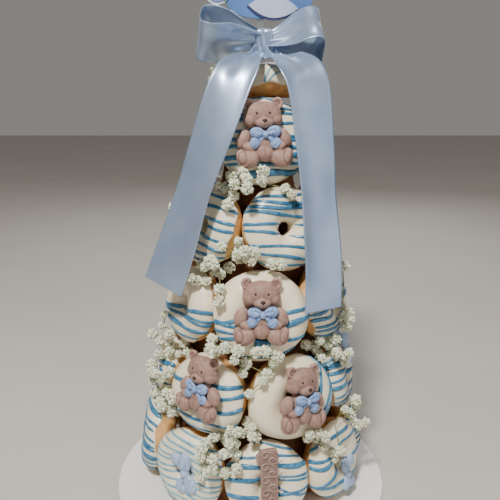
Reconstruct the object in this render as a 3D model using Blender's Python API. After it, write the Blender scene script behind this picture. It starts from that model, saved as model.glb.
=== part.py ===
"""A tower of glazed ring doughnuts on a round board, trimmed with fondant bears, flowers and a satin bow.

Metres, +Z up. The front of the tower faces -Y, and the origin is the middle of the board's underside.
Angles round the tower run from the front towards +X.
"""

import math
import random
from functools import partial

import bmesh
import bpy
import numpy as np
from mathutils import Matrix, Vector
from mathutils.bvhtree import BVHTree

MM = 0.001
GAP = 0.4 * MM  # left between any two pieces

# Board and tower
BOARD_RADIUS = 152.5 * MM
BOARD_THICKNESS = 4 * MM
BOARD_SIDES = 48
TOWER_X = 2 * MM  # where the tower's axis meets the board
TOWER_Y = 24 * MM
TOWER_SLANT = 0.016  # how far the axis leans to the right for each metre of height
TIER_COUNTS = (8, 7, 6, 5, 4)
TIER_TURNS = (7, 21.5, 3, 23, 4)  # degrees from the front to a tier's front doughnut
TIER_LEAN = math.radians(9.2)

# One doughnut: a ring of oval section, wider than tall, and pressed flat by its neighbours
RING_RADIUS = 42.5 * MM
TUBE_HALF_WIDTH = 18 * MM
TUBE_HALF_DEPTH = 17 * MM
TUBE_CENTRE = RING_RADIUS - TUBE_HALF_WIDTH
SIDE_SPREAD = 1.05
PRESS_GAP = 0.6 * GAP  # from a pressed side to the plane between two neighbours
RING_SEGMENTS = 13
TUBE_SEGMENTS = 8
SIZE_SPREAD = 0.015
LEAN_SPREAD = math.radians(1.2)
HEIGHT_SPREAD = 0.8 * MM
CAP_HALF_DEPTH = 17 * MM
CAP_SHIFT = 3 * MM  # the cap sits a little right of the axis
CAP_LIFT = 3.5 * MM  # and rests on the core, which stands a little above the last tier
# Doughnuts that stand out, by tier and place in it: size, and how far forward
STANDOUTS = {(1, 6): (1.05, 4 * MM), (2, 0): (1.04, 3 * MM), (3, 0): (1.07, 6 * MM)}

# Core that carries the doughnuts
CORE_CLEARANCE = 1.5 * MM
CORE_SIDES = 24

# Fondant bears, in the frame of the doughnut that each one is stuck to
BEAR_HEIGHT = 64 * MM
BEAR_SPOTS = (
    # name, tier, doughnut in the tier, shift right, shift up, turn and turn of the face to the right in degrees
    ("bear_top", 4, 0, -1 * MM, 6 * MM, 2, 0),
    ("bear_middle", 2, 0, -1 * MM, 8 * MM, -1, 0),
    ("bear_left", 1, 6, 4 * MM, 15 * MM, -4, -10),
    ("bear_right", 1, 0, 2 * MM, 6 * MM, -5, 12),
)

# Fondant bows and the figure
BOW_SPOTS = (
    # name, tier, doughnut in the tier, shift right, shift up, turn in degrees, length
    ("bow_left", 0, 7, 9 * MM, 3 * MM, -68, 44 * MM),
    ("bow_right", 1, 1, -8 * MM, 27 * MM, 74, 38 * MM),
    ("bow_base", 0, 1, 2 * MM, -17 * MM, 84, 38 * MM),
)
FIGURE_HEIGHT = 63 * MM
FIGURE_WIDTH = 17 * MM
FIGURE_FLAG = 4.5 * MM
FIGURE_THICKNESS = 5 * MM
FIGURE_SHIFT = (0.5 * MM, 10 * MM)

# Satin ribbon
RIBBON_WIDTH = 40 * MM
RIBBON_THICKNESS = 0.9 * MM
KNOT = Vector((13, 5, 479)) * MM
KNOT_RADII = Vector((7.5, 8.5, 11.5)) * MM
LOOP_LENGTH = 62 * MM

# Topper: cards on a clear stick
STICK_SIZE = Vector((6, 2.4)) * MM
STICK_DEPTH = 45 * MM  # how far it is stuck into the core
STICK_X = 9.5 * MM
STICK_TOP = 562 * MM
CARD_THICKNESS = 1.6 * MM

# Gypsophila sprays: centre angle in degrees and height, half spread along and up, heads
HEAD_RADIUS = 6.2 * MM
STEM_RADIUS = 0.8 * MM
SPRAYS = (
    ("spray_under_bear", -3, 348 * MM, 15 * MM, 13 * MM, 6),
    ("spray_waist", -17, 274 * MM, 24 * MM, 15 * MM, 8),
    ("spray_middle", -9, 177 * MM, 30 * MM, 16 * MM, 8),
    ("spray_side", -66, 146 * MM, 34 * MM, 50 * MM, 11),
    ("spray_low", -13, 92 * MM, 25 * MM, 19 * MM, 8),
    ("spray_right", 40, 174 * MM, 16 * MM, 12 * MM, 5),
    ("spray_corner", 50, 84 * MM, 36 * MM, 28 * MM, 8),
    ("spray_back", 165, 200 * MM, 30 * MM, 34 * MM, 5),
)


def clear_scene():
    for obj in list(bpy.data.objects):
        bpy.data.objects.remove(obj, do_unlink=True)


def material(name, colour, roughness, metallic=0.0, alpha=1.0):
    made = bpy.data.materials.new(name)
    made.use_nodes = True
    shader = made.node_tree.nodes["Principled BSDF"]
    shader.inputs["Base Color"].default_value = (*colour, 1.0)
    shader.inputs["Roughness"].default_value = roughness
    shader.inputs["Metallic"].default_value = metallic
    shader.inputs["Alpha"].default_value = alpha
    made.diffuse_color = (*colour, alpha)
    return made


def add_object(name, mesh, finish):
    obj = bpy.data.objects.new(name, mesh)
    bpy.context.scene.collection.objects.link(obj)
    mesh.materials.clear()
    mesh.materials.append(finish)
    return obj


def mesh_of(name, points, faces):
    """A mesh with its faces turned outwards"""
    mesh = bpy.data.meshes.new(name)
    mesh.from_pydata([tuple(p) for p in points], [], faces)
    form = bmesh.new()
    form.from_mesh(mesh)
    bmesh.ops.recalc_face_normals(form, faces=form.faces)
    form.to_mesh(mesh)
    form.free()
    return mesh


def loft(rings, closed=False):
    """Faces through equal rings of points, with the ends capped unless the rings close on themselves"""
    count = len(rings[0])
    points = [point for ring in rings for point in ring]
    faces = []
    last = len(rings) if closed else len(rings) - 1
    for row in range(last):
        here, there = row * count, (row + 1) % len(rings) * count
        for side in range(count):
            after = (side + 1) % count
            faces.append((here + side, here + after, there + after, there + side))
    if not closed:
        faces.append(tuple(range(count))[::-1])
        faces.append(tuple(range((len(rings) - 1) * count, len(rings) * count)))
    return points, faces


def ellipsoid(centre, radii, turn=0.0, segments=10, rings=6):
    """A round lump, turned about the Z axis by so many degrees"""
    mesh = bpy.data.meshes.new("lump")
    form = bmesh.new()
    place = Matrix.Translation(centre) @ Matrix.Rotation(math.radians(turn), 4, "Z")
    place = place @ Matrix.Diagonal((*radii, 1.0))
    bmesh.ops.create_uvsphere(form, u_segments=segments, v_segments=rings, radius=1.0, matrix=place)
    form.to_mesh(mesh)
    form.free()
    return mesh


def fused(name, meshes, finish, cutters=()):
    """One solid from overlapping closed meshes, less the cutters, all in the same frame"""
    group = bpy.data.collections.new(name + "_pieces")
    bpy.context.scene.collection.children.link(group)
    base = add_object(name, meshes[0], finish)
    for mesh in meshes[1:]:
        group.objects.link(bpy.data.objects.new(name + "_piece", mesh))
    if len(meshes) > 1:
        join = base.modifiers.new("Join", "BOOLEAN")
        join.operation = "UNION"
        join.operand_type = "COLLECTION"
        join.collection = group
    removed = []
    for mesh in cutters:
        cutter = bpy.data.objects.new(name + "_cutter", mesh)
        bpy.context.scene.collection.objects.link(cutter)
        removed.append(cutter)
        cut = base.modifiers.new("Cut", "BOOLEAN")
        cut.operation = "DIFFERENCE"
        cut.object = cutter
    graph = bpy.context.evaluated_depsgraph_get()
    result = bpy.data.meshes.new_from_object(base.evaluated_get(graph))
    base.modifiers.clear()
    base.data = result
    result.materials.clear()
    result.materials.append(finish)
    for obj in list(group.objects) + removed:
        bpy.data.objects.remove(obj, do_unlink=True)
    bpy.data.collections.remove(group)
    return base


def keep_largest(obj):
    """Drops the scraps that a cut leaves beside the main body"""
    form = bmesh.new()
    form.from_mesh(obj.data)
    islands = []
    seen = set()
    for start in form.verts:
        if start in seen:
            continue
        island, front = {start}, [start]
        while front:
            for edge in front.pop().link_edges:
                for vert in edge.verts:
                    if vert not in island:
                        island.add(vert)
                        front.append(vert)
        seen |= island
        islands.append(island)
    islands.sort(key=len, reverse=True)
    bmesh.ops.delete(form, geom=[v for island in islands[1:] for v in island], context="VERTS")
    form.to_mesh(obj.data)
    form.free()


# --- The doughnuts ---------------------------------------------------------------------------------------


class Doughnut:
    """A ring placed in the tower; its own frame has x to the side, y up and z out of the glazed face"""

    def __init__(self, centre, side, up, size=1.0, half_depth=TUBE_HALF_DEPTH, wedge=None):
        self.centre = Vector(centre)
        self.side = Vector(side).normalized()
        self.up = Vector(up).normalized()
        self.face = self.side.cross(self.up)
        self.size = size
        self.half_depth = half_depth
        self.wedge = wedge  # the direction from the axis and half the angle that this ring may fill

    def place(self):
        turn = Matrix((self.side, self.up, self.face)).transposed().to_4x4()
        return Matrix.Translation(self.centre) @ turn

    def surface(self, around, section, grow=0.0):
        """Rings of points in the doughnut's own frame"""
        rings = []
        for i in range(around):
            angle = 2 * math.pi * i / around
            ring = []
            for j in range(section):
                turn = 2 * math.pi * j / section
                reach = TUBE_CENTRE * self.size + (TUBE_HALF_WIDTH * self.size + grow) * math.cos(turn)
                deep = (self.half_depth * self.size + grow) * math.sin(turn)
                ring.append((SIDE_SPREAD * reach * math.cos(angle), reach * math.sin(angle), deep))
            rings.append(ring)
        return rings

    def pressed(self, point):
        """A point of this ring in the world, kept on its own side of the planes between neighbours"""
        spot = self.place() @ Vector(point)
        if not self.wedge:
            return spot
        angle, half = self.wedge
        axis = axis_point(spot.z)
        outward = Vector((math.sin(angle), -math.cos(angle), 0))
        side = Vector((math.cos(angle), math.sin(angle), 0))
        out, across = (spot - axis).dot(outward), (spot - axis).dot(side)
        limit = out * math.tan(half) - PRESS_GAP / math.cos(half)
        return spot + side * (max(-limit, min(limit, across)) - across)

    def overlaps(self, other):
        """Whether points on this ring lie inside the other one, or nearer to it than the gap"""
        if (self.centre - other.centre).length > 2.2 * RING_RADIUS:
            return False
        samples = np.array(self.surface(28, 14)).reshape(-1, 3)
        mine = np.array(self.place())
        world = samples @ mine[:3, :3].T + mine[:3, 3]
        local = (world - np.array(other.centre)) @ np.array(other.place())[:3, :3]
        reach = np.hypot(local[:, 0] / SIDE_SPREAD, local[:, 1]) - TUBE_CENTRE * other.size
        width = TUBE_HALF_WIDTH * other.size + GAP * 1.5
        depth = other.half_depth * other.size + GAP * 1.5
        return bool(((reach / width) ** 2 + (local[:, 2] / depth) ** 2 < 1).any())


def axis_point(height):
    return Vector((TOWER_X + TOWER_SLANT * height, TOWER_Y, height))


def tier_radius(count):
    """Where rings standing side by side just touch on the plane between them"""
    half = math.pi / count
    wide, deep = math.cos(half), math.sin(half)
    tube = math.hypot(TUBE_HALF_WIDTH * wide, TUBE_HALF_DEPTH * deep)
    return (TUBE_CENTRE * wide + tube + GAP) / deep


def tier(count, turn, height, rand=None):
    """One ring of standing doughnuts, the first of them at the turn"""
    rings = []
    for index in range(count):
        angle = math.radians(turn) + 2 * math.pi * index / count
        outward = Vector((math.sin(angle), -math.cos(angle), 0))
        side = Vector((math.cos(angle), math.sin(angle), 0))
        lean, lift, size = TIER_LEAN, 0.0, 1.0
        if rand:
            lean += rand.uniform(-LEAN_SPREAD, LEAN_SPREAD)
            lift = rand.uniform(-HEIGHT_SPREAD, HEIGHT_SPREAD)
            size = 1 - rand.uniform(0, SIZE_SPREAD)
        up = Vector((0, 0, math.cos(lean))) - outward * math.sin(lean)
        centre = axis_point(height + lift) + outward * tier_radius(count)
        rings.append(Doughnut(centre, side, up, size, wedge=(angle, math.pi / count)))
    return rings


def settle(make, below, high, low):
    """The lowest height between two bounds where what is made there clears what is below"""
    for _ in range(12):
        middle = (high + low) / 2
        if any(a.overlaps(b) for a in make(middle) for b in below):
            low = middle
        else:
            high = middle
    return high


def stack():
    """All tiers from the board up, and the cap lying flat on the last"""
    rand = random.Random(11)
    tiers = []
    tube = math.hypot(TUBE_HALF_WIDTH * math.cos(TIER_LEAN), TUBE_HALF_DEPTH * math.sin(TIER_LEAN))
    height = BOARD_THICKNESS + GAP + HEIGHT_SPREAD + TUBE_CENTRE * math.cos(TIER_LEAN) + tube
    below = []
    for level, (count, turn) in enumerate(zip(TIER_COUNTS, TIER_TURNS), 1):
        if below:
            make = partial(tier, count, turn)
            height = settle(make, below, height + 2 * RING_RADIUS, height + RING_RADIUS)
        placed = []
        for index, ring in enumerate(tier(count, turn, height, rand)):
            if (level, index) in STANDOUTS:
                ring.size, forward = STANDOUTS[level, index]
                ring.centre += ring.face * forward
            while any(ring.overlaps(other) or other.overlaps(ring) for other in below):
                ring.size *= 0.995
            placed.append(ring)
        tiers.append(placed)
        below = placed
    top = settle(cap_at, below, height + 2 * RING_RADIUS, height + TUBE_HALF_DEPTH)
    tiers.append(cap_at(top + CAP_LIFT))
    return tiers


def cap_at(height):
    """The one doughnut that lies flat, as a tier of its own"""
    centre = axis_point(height) + Vector((CAP_SHIFT, 0, 0))
    return [Doughnut(centre, (1, 0, 0), (0, 1, 0), 1.0, CAP_HALF_DEPTH)]


def build_doughnut(name, ring, finish):
    points, faces = loft(ring.surface(RING_SEGMENTS, TUBE_SEGMENTS), closed=True)
    to_local = ring.place().inverted()
    points = [to_local @ ring.pressed(point) for point in points]
    obj = add_object(name, mesh_of(name, points, faces), finish)
    obj.matrix_world = ring.place()
    obj.data.shade_smooth()
    return obj


def dome_cutter(ring):
    """An eight-sided outline round the doughnut's section, turned with the hole filled.

    It cuts the back of what is stuck on the doughnut, and leaves the gap."""
    corner = math.tan(math.pi / TUBE_SEGMENTS)
    wide = TUBE_HALF_WIDTH * ring.size + GAP
    deep = ring.half_depth * ring.size + GAP
    crest = TUBE_CENTRE * ring.size
    profile = ((crest + wide * corner, deep), (crest + wide, deep * corner))
    profile += ((crest + wide, -deep * corner), (crest + wide * corner, -deep))
    outside = 1 / math.cos(math.pi / RING_SEGMENTS)
    rings = []
    for reach, height in profile:
        rim = [2 * math.pi * k / RING_SEGMENTS for k in range(RING_SEGMENTS)]
        reach *= outside
        rings.append([(SIDE_SPREAD * reach * math.cos(a), reach * math.sin(a), height) for a in rim])
    points, faces = loft(rings)
    return mesh_of("dome", points, faces)


# --- Board and core --------------------------------------------------------------------------------------


def disc(centre, radius, height, sides):
    rim = [2 * math.pi * k / sides for k in range(sides)]
    low = [(centre.x + radius * math.cos(a), centre.y + radius * math.sin(a), centre.z) for a in rim]
    return low, [(x, y, z + height) for x, y, z in low]


def build_board(finish):
    points, faces = loft(disc(Vector((0, 0, 0)), BOARD_RADIUS, BOARD_THICKNESS, BOARD_SIDES))
    return add_object("board", mesh_of("board", points, faces), finish)


def back_reach(count, middle, height):
    """How far from the axis the back of a tier's rings is, at a height"""
    back = tier_radius(count) - TUBE_HALF_DEPTH / math.cos(TIER_LEAN)
    return back - (height - middle) * math.tan(TIER_LEAN) - CORE_CLEARANCE


def build_core(tiers, finish):
    """A solid cone just inside the doughnuts' backs, with a slot for the topper's stick"""
    low = BOARD_THICKNESS + GAP
    cap = tiers[-1][0]
    high = cap.centre.z - cap.half_depth - GAP
    base = back_reach(TIER_COUNTS[0], tiers[0][0].centre.z, low)
    top = back_reach(TIER_COUNTS[-1], tiers[-2][0].centre.z, high)
    rings = []
    for height, radius in ((low, base), (high, top)):
        rings.append(disc(axis_point(height), radius, 0, CORE_SIDES)[0])
    points, faces = loft(rings)
    slot = stick_mesh(high - STICK_DEPTH - GAP, high + STICK_DEPTH, GAP)
    return fused("core_cone", [mesh_of("core_cone", points, faces)], finish, [slot]), high


def box_mesh(name, low, high):
    ring = [(low[0], low[1]), (high[0], low[1]), (high[0], high[1]), (low[0], high[1])]
    points, faces = loft([[(x, y, z) for x, y in ring] for z in (low[2], high[2])])
    return mesh_of(name, points, faces)


def stick_mesh(low, high, grow):
    half = STICK_SIZE / 2 + Vector((grow, grow))
    corner = Vector((STICK_X - half.x, TOWER_Y - half.y, low))
    return box_mesh("stick", corner, (STICK_X + half.x, TOWER_Y + half.y, high))


# --- Fondant pieces --------------------------------------------------------------------------------------


def bow_lumps(length, grow=0.0, segments=5, rings=4):
    """Two lobes, two tails and a knot; length is from lobe to lobe, and the bow lies in the XY plane"""
    unit = length / 20
    shape = (
        # centre x, y, z, radius x, y, z, turn
        (0, -0.2, 0.9, 3.2, 3.4, 2.4, 0),
        (-5.0, 1.7, 0.6, 5.4, 3.6, 2.3, -24),
        (5.0, 1.7, 0.6, 5.4, 3.6, 2.3, 24),
        (-4.2, -4.0, 0.3, 5.4, 3.4, 2.1, 52),
        (4.2, -4.0, 0.3, 5.4, 3.4, 2.1, -52),
    )
    lumps = []
    for x, y, z, *radii, turn in shape:
        centre = Vector((x, y, z)) * unit
        lumps.append(ellipsoid(centre, [r * unit + grow for r in radii], turn, segments, rings))
    return lumps


def bear_lumps():
    """A sitting bear in relief: its back is at z = 0, y runs from its middle to the top of its head"""
    unit = BEAR_HEIGHT / 62
    shape = (
        # centre x, y, z, radius x, y, z, turn, segments, rings
        (0, -10.0, 1.5, 13.5, 18.0, 8.5, 0, 8, 5),
        (0, 15.2, 2.0, 17.2, 13.6, 9.5, 0, 9, 5),
        (-13.4, 26.0, 1.0, 5.8, 5.8, 4.0, 0, 6, 4),
        (13.4, 26.0, 1.0, 5.8, 5.8, 4.0, 0, 6, 4),
        (0, 7.6, 7.5, 9.2, 6.4, 7.2, 0, 6, 4),
        (-16.2, -6.6, 3.0, 7.6, 10.4, 6.8, -18, 6, 4),
        (16.2, -6.6, 3.0, 7.6, 10.4, 6.8, 18, 6, 4),
        (-15.2, -22.2, 4.6, 10.0, 9.2, 7.6, 16, 6, 4),
        (15.2, -22.2, 4.6, 10.0, 9.2, 7.6, -16, 6, 4),
    )
    lumps = []
    for x, y, z, *radii, turn, segments, rings in shape:
        centre = Vector((x, y, z)) * unit
        lumps.append(ellipsoid(centre, [r * unit for r in radii], turn, segments, rings))
    return lumps


TIE_SPOT = Vector((1.0, -4.5, 9.6)) * (BEAR_HEIGHT / 62)
TIE_LENGTH = 25 * MM


def hull_of(meshes):
    """One convex mesh round several"""
    form = bmesh.new()
    for mesh in meshes:
        for vert in mesh.vertices:
            form.verts.new(vert.co)
    bmesh.ops.convex_hull(form, input=form.verts)
    loose = [vert for vert in form.verts if not vert.link_faces]
    bmesh.ops.delete(form, geom=loose, context="VERTS")
    hull = bpy.data.meshes.new("hull")
    form.to_mesh(hull)
    form.free()
    return hull


def stuck_on(ring, right, up, turn, lift=0.0, facing=0.0):
    """A frame on the crest of a doughnut's glazed face, which may face a little to one side"""
    crest = ring.half_depth * ring.size + GAP + lift
    place = Matrix.Translation((right, up, crest)) @ Matrix.Rotation(math.radians(facing), 4, "Y")
    return place @ Matrix.Rotation(math.radians(turn), 4, "Z")


def moved(mesh, place):
    mesh.transform(place)
    return mesh


def build_bear(name, ring, right, up, turn, facing, finish, tie_finish):
    """The bear and its bow tie, cut to the doughnut that they are on"""
    lift = 0.2 * BEAR_HEIGHT * math.sin(math.radians(abs(facing)))
    place = stuck_on(ring, right, up, turn, lift, facing)
    tie_place = place @ Matrix.Translation(TIE_SPOT)
    tie = fused(name + "_tie", [moved(m, tie_place) for m in bow_lumps(TIE_LENGTH)], tie_finish)
    room = hull_of([moved(m, tie_place) for m in bow_lumps(TIE_LENGTH, GAP)])
    lumps = [moved(mesh, place) for mesh in bear_lumps()]
    bear = fused(name, lumps, finish, [dome_cutter(ring), room])
    keep_largest(bear)
    for obj in (bear, tie):
        obj.matrix_world = ring.place()
        obj.data.shade_smooth()
    return bear, tie


def build_fondant_bow(name, ring, right, up, turn, length, finish):
    """A bow in an upright place on the doughnut, following its round side where it is near the rim"""
    reach = math.hypot(right, up) - TUBE_CENTRE
    if reach <= 0:
        place = stuck_on(ring, right, up, turn, -1.0 * MM)
    else:
        drop = ring.half_depth * (1 - math.sqrt(max(0.0, 1 - (reach / TUBE_HALF_WIDTH) ** 2)))
        tilt = Matrix.Rotation(0.6 * reach / TUBE_HALF_WIDTH, 4, Vector((-up, right, 0)))
        spin = Matrix.Rotation(math.radians(turn), 4, "Z")
        spot = Matrix.Translation((right, up, ring.half_depth * ring.size + GAP - drop))
        place = spot @ tilt @ spin
    lumps = [moved(mesh, place) for mesh in bow_lumps(length)]
    bow = fused(name, lumps, finish, [dome_cutter(ring)])
    keep_largest(bow)
    bow.matrix_world = ring.place()
    bow.data.shade_smooth()
    return bow


def build_figure(ring, finish):
    """The figure 1 as a flat plaque across the front doughnut, with a bevelled face"""
    half = FIGURE_HEIGHT / 2
    left, right = -FIGURE_WIDTH / 2, FIGURE_WIDTH / 2
    outline = [(left, -half), (right, -half), (right, half - 2 * MM), (right - 2 * MM, half)]
    outline += [(left + 1 * MM, half - 1 * MM), (left - FIGURE_FLAG, half - 7 * MM)]
    outline += [(left - FIGURE_FLAG + 1 * MM, half - 16 * MM), (left, half - 17 * MM)]
    back = ring.half_depth * ring.size + GAP
    shift_x, shift_y = FIGURE_SHIFT
    rings = []
    for height, inset in ((0, 0), (0.8 * FIGURE_THICKNESS, 0), (FIGURE_THICKNESS, 0.07)):
        spot = [((1 - inset) * x + shift_x, (1 - inset / 3) * y + shift_y) for x, y in outline]
        rings.append([(x, y, back + height) for x, y in spot])
    points, faces = loft(rings)
    obj = add_object("number_one", mesh_of("number_one", points, faces), finish)
    obj.matrix_world = ring.place()
    return obj


# --- Satin ribbon ----------------------------------------------------------------------------------------


def smooth_path(points, count):
    """Evenly numbered points on a Catmull-Rom curve through a few given ones"""
    points = [Vector(p) for p in points]
    last = len(points) - 1
    out = []
    for k in range(count + 1):
        t = k / count * last
        i = min(int(t), last - 1)
        f = t - i
        p0 = points[max(i - 1, 0)]
        p1, p2 = points[i], points[i + 1]
        p3 = points[min(i + 2, last)]
        out.append(0.5 * ((2 * p1) + (p2 - p0) * f + (2 * p0 - 5 * p1 + 4 * p2 - p3) * f * f
                          + (3 * p1 - p0 - 3 * p2 + p3) * f ** 3))
    return out


def strip_mesh(name, path, widths, cross, across=2, end_slant=0.0):
    """A thin strip along a path; cross gives the direction of its width at each point"""
    count = len(path)
    front, back = [], []
    for k, centre in enumerate(path):
        ahead = path[min(k + 1, count - 1)] - path[max(k - 1, 0)]
        wide = cross[k].normalized()
        normal = ahead.cross(wide).normalized() * RIBBON_THICKNESS / 2
        for j in range(across + 1):
            side = (j / across - 0.5) * widths[k]
            spot = centre + wide * side
            if k == count - 1:
                spot = spot + ahead.normalized() * end_slant * side
            front.append(spot + normal)
            back.append(spot - normal)
    row, size = across + 1, len(front)
    faces = []
    for k in range(count - 1):
        for j in range(across):
            a, b = k * row + j, k * row + j + 1
            c, d = b + row, a + row
            faces += [(a, b, c), (a, c, d), (size + c, size + b, size + a), (size + d, size + c, size + a)]
        for j, flip in ((0, 1), (across, 0)):
            a, d = k * row + j, (k + 1) * row + j
            quad = (a, d, size + d, size + a)
            faces.append(quad if flip else quad[::-1])
    for k, flip in ((0, 0), (count - 1, 1)):
        for j in range(across):
            a, b = k * row + j, k * row + j + 1
            quad = (a, size + a, size + b, b)
            faces.append(quad[::-1] if flip else quad)
    return mesh_of(name, front + back, faces)


# A loop's outline from the knot and back, in lengths of the loop, and its own proportions
LOOP_OUTLINE = ((0.04, 0.03), (0.36, 0.16), (0.76, 0.42), (0.96, 0.36), (1.0, 0.0),
                (0.96, -0.36), (0.76, -0.42), (0.36, -0.16), (0.04, -0.03))
LEFT_LOOP = {"side": -1, "rise": 8, "tilt": 60, "spread": 56 * MM}
RIGHT_LOOP = {"side": 1, "rise": 6, "tilt": -32, "spread": 42 * MM}
LOOP_STATIONS = 14
GATHERED_WIDTH = 14 * MM


def loop_mesh(side, rise, tilt, spread):
    """One bow loop: a band that leaves the knot, turns and comes back, wide where it turns"""
    rise, tilt = math.radians(rise), math.radians(tilt)
    out = Vector((side * math.cos(rise), 0, math.sin(rise)))
    apart = Vector((0, math.cos(tilt), math.sin(tilt)))
    apart = (apart - out * apart.dot(out)).normalized()
    wide = out.cross(apart).normalized()
    outline = [KNOT + out * x * LOOP_LENGTH + apart * v * spread for x, v in LOOP_OUTLINE]
    path = smooth_path(outline, LOOP_STATIONS)
    widths = []
    for point in path:
        share = min(1.0, (point - KNOT).dot(out) / (0.55 * LOOP_LENGTH))
        widths.append(GATHERED_WIDTH + (RIBBON_WIDTH - GATHERED_WIDTH) * share ** 0.8)
    return strip_mesh("loop", path, widths, [wide] * len(path))


def build_bow(finish):
    knot = ellipsoid(KNOT, KNOT_RADII, 0, 8, 6)
    return fused("satin_bow", [knot, loop_mesh(**LEFT_LOOP), loop_mesh(**RIGHT_LOOP)], finish)


LEFT_TAIL = ((5, -6, 464), (-5, -26, 461), (-17, -42, 441), (-36, -52, 389), (-57, -52, 330),
             (-72, -52, 284), (-86, -53, 245))
RIGHT_TAIL = ((22, -6, 464), (36, -26, 461), (51, -42, 441), (59, -48, 388), (65, -52, 330),
              (70, -58, 274), (72, -66, 226))
TAIL_STATIONS = 12
TAIL_OPENING = 26 * MM  # the run over which a tail opens from the knot to its full width
TAIL_FACING = 0.35  # how much of the way round the tower a tail turns its face


def build_tail(name, points, end_slant, finish):
    """A ribbon tail that falls from the knot and hangs clear of the doughnuts"""
    path = smooth_path([Vector(p) * MM for p in points], TAIL_STATIONS)
    cross, widths = [], []
    run = 0.0
    for k, point in enumerate(path):
        outward = point - axis_point(point.z)
        angle = TAIL_FACING * math.atan2(outward.x, -outward.y)
        cross.append(Vector((math.cos(angle), math.sin(angle), 0)))
        run += (point - path[max(k - 1, 0)]).length
        share = min(1.0, run / TAIL_OPENING)
        widths.append(GATHERED_WIDTH + (RIBBON_WIDTH - GATHERED_WIDTH) * share)
    for k, point in enumerate(path):
        ahead = path[min(k + 1, len(path) - 1)] - path[max(k - 1, 0)]
        cross[k] = cross[k] - ahead * cross[k].dot(ahead) / ahead.length_squared
    return add_object(name, strip_mesh(name, path, widths, cross, 2, end_slant), finish)


# --- Topper ----------------------------------------------------------------------------------------------


def card(name, outline, front, finish):
    """A flat card standing in the XZ plane, with its front at the given y"""
    points, faces = loft([[(x, y, z) for x, z in outline] for y in (front, front + CARD_THICKNESS)])
    return add_object(name, mesh_of(name, points, faces), finish)


def rounded_plaque(centre_x, centre_z, half_width, half_height, power, count):
    """A superellipse: the higher the power, the squarer its corners"""
    outline = []
    for k in range(count):
        angle = 2 * math.pi * k / count
        c, s = math.cos(angle), math.sin(angle)
        x = math.copysign(abs(c) ** (2 / power), c) * half_width
        z = math.copysign(abs(s) ** (2 / power), s) * half_height
        outline.append((centre_x + x, centre_z + z))
    return outline


def petal(centre_x, centre_z, length, width, turn, count):
    """A leaf shape with two pointed ends"""
    outline = []
    for k in range(count):
        u = k / count * 2
        along = 1 - 2 * (u if u <= 1 else 2 - u)
        out = (1 - along * along) * width / 2 * (1 if u <= 1 else -1)
        x, z = along * length / 2, out
        outline.append((centre_x + x * math.cos(turn) - z * math.sin(turn),
                        centre_z + x * math.sin(turn) + z * math.cos(turn)))
    return outline


PLAQUE = {"centre_x": 18 * MM, "centre_z": 538 * MM, "half_width": 46 * MM, "half_height": 36 * MM}
BUTTON = {"centre_x": -33 * MM, "centre_z": 529 * MM, "half_width": 14 * MM, "half_height": 14 * MM}
PETAL = {"centre_x": 22 * MM, "centre_z": 512 * MM, "length": 52 * MM, "width": 23 * MM}
PETAL_TURN = math.radians(-4)


def build_topper(core_top, clear, blue, pale, rim):
    stick = add_object("topper_stick", stick_mesh(core_top - STICK_DEPTH, STICK_TOP, 0), clear)
    front = TOWER_Y - STICK_SIZE.y / 2 - GAP - CARD_THICKNESS
    plaque = card("topper_plaque", rounded_plaque(**PLAQUE, power=3.0, count=28), front, blue)
    front -= GAP + CARD_THICKNESS
    leaf_card = card("topper_petal", petal(**PETAL, turn=PETAL_TURN, count=14), front, pale)
    button_card = card("topper_button", rounded_plaque(**BUTTON, power=2.0, count=16), front, rim)
    return [stick, plaque, leaf_card, button_card]


# --- Gypsophila ------------------------------------------------------------------------------------------


class Obstacles:
    """What the flowers have to stay clear of"""

    def __init__(self, objects):
        self.points, self.faces = [], []
        for obj in objects:
            self.add(obj)

    def add(self, obj):
        start = len(self.points)
        self.points += [obj.matrix_world @ vert.co for vert in obj.data.vertices]
        self.faces += [[start + v for v in face.vertices] for face in obj.data.polygons]
        self.tree = BVHTree.FromPolygons(self.points, self.faces)

    def reach(self, angle, height, radius):
        """How near to the axis a ball comes from outside before it is stopped"""
        axis = axis_point(height)
        out = Vector((math.sin(angle), -math.cos(angle), 0))
        reach = 190 * MM
        while reach > 10 * MM:
            found = self.tree.find_nearest(axis + out * reach)
            free = found[3] - radius - GAP
            if free <= 0.05 * MM:
                break
            reach -= max(0.05 * MM, free)
        return reach

    def touch(self, angle, height, radius):
        axis = axis_point(height)
        reach = self.reach(angle, height, radius)
        return axis + Vector((math.sin(angle), -math.cos(angle), 0)) * reach

    def clear_between(self, start, end, radius):
        steps = 16
        spots = [start.lerp(end, k / steps) for k in range(steps + 1)]
        return all(self.tree.find_nearest(spot)[3] > radius + GAP for spot in spots)


def rod(start, end, radius):
    """A three-sided stem"""
    along = (end - start).normalized()
    aside = along.orthogonal().normalized()
    other = along.cross(aside)
    rings = []
    for centre in (start, end):
        turns = [2 * math.pi * k / 3 for k in range(3)]
        rings.append([centre + (aside * math.cos(t) + other * math.sin(t)) * radius for t in turns])
    points, faces = loft(rings)
    return mesh_of("stem", points, faces)


def head(centre, radius, rand):
    """One flower head as a lump of twenty faces"""
    mesh = bpy.data.meshes.new("head")
    form = bmesh.new()
    turn = Matrix.Rotation(rand.uniform(0, 6), 4, Vector((rand.random(), rand.random(), 1)))
    bmesh.ops.create_icosphere(form, subdivisions=1, radius=radius, matrix=Matrix.Translation(centre) @ turn)
    form.to_mesh(mesh)
    form.free()
    return mesh


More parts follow.
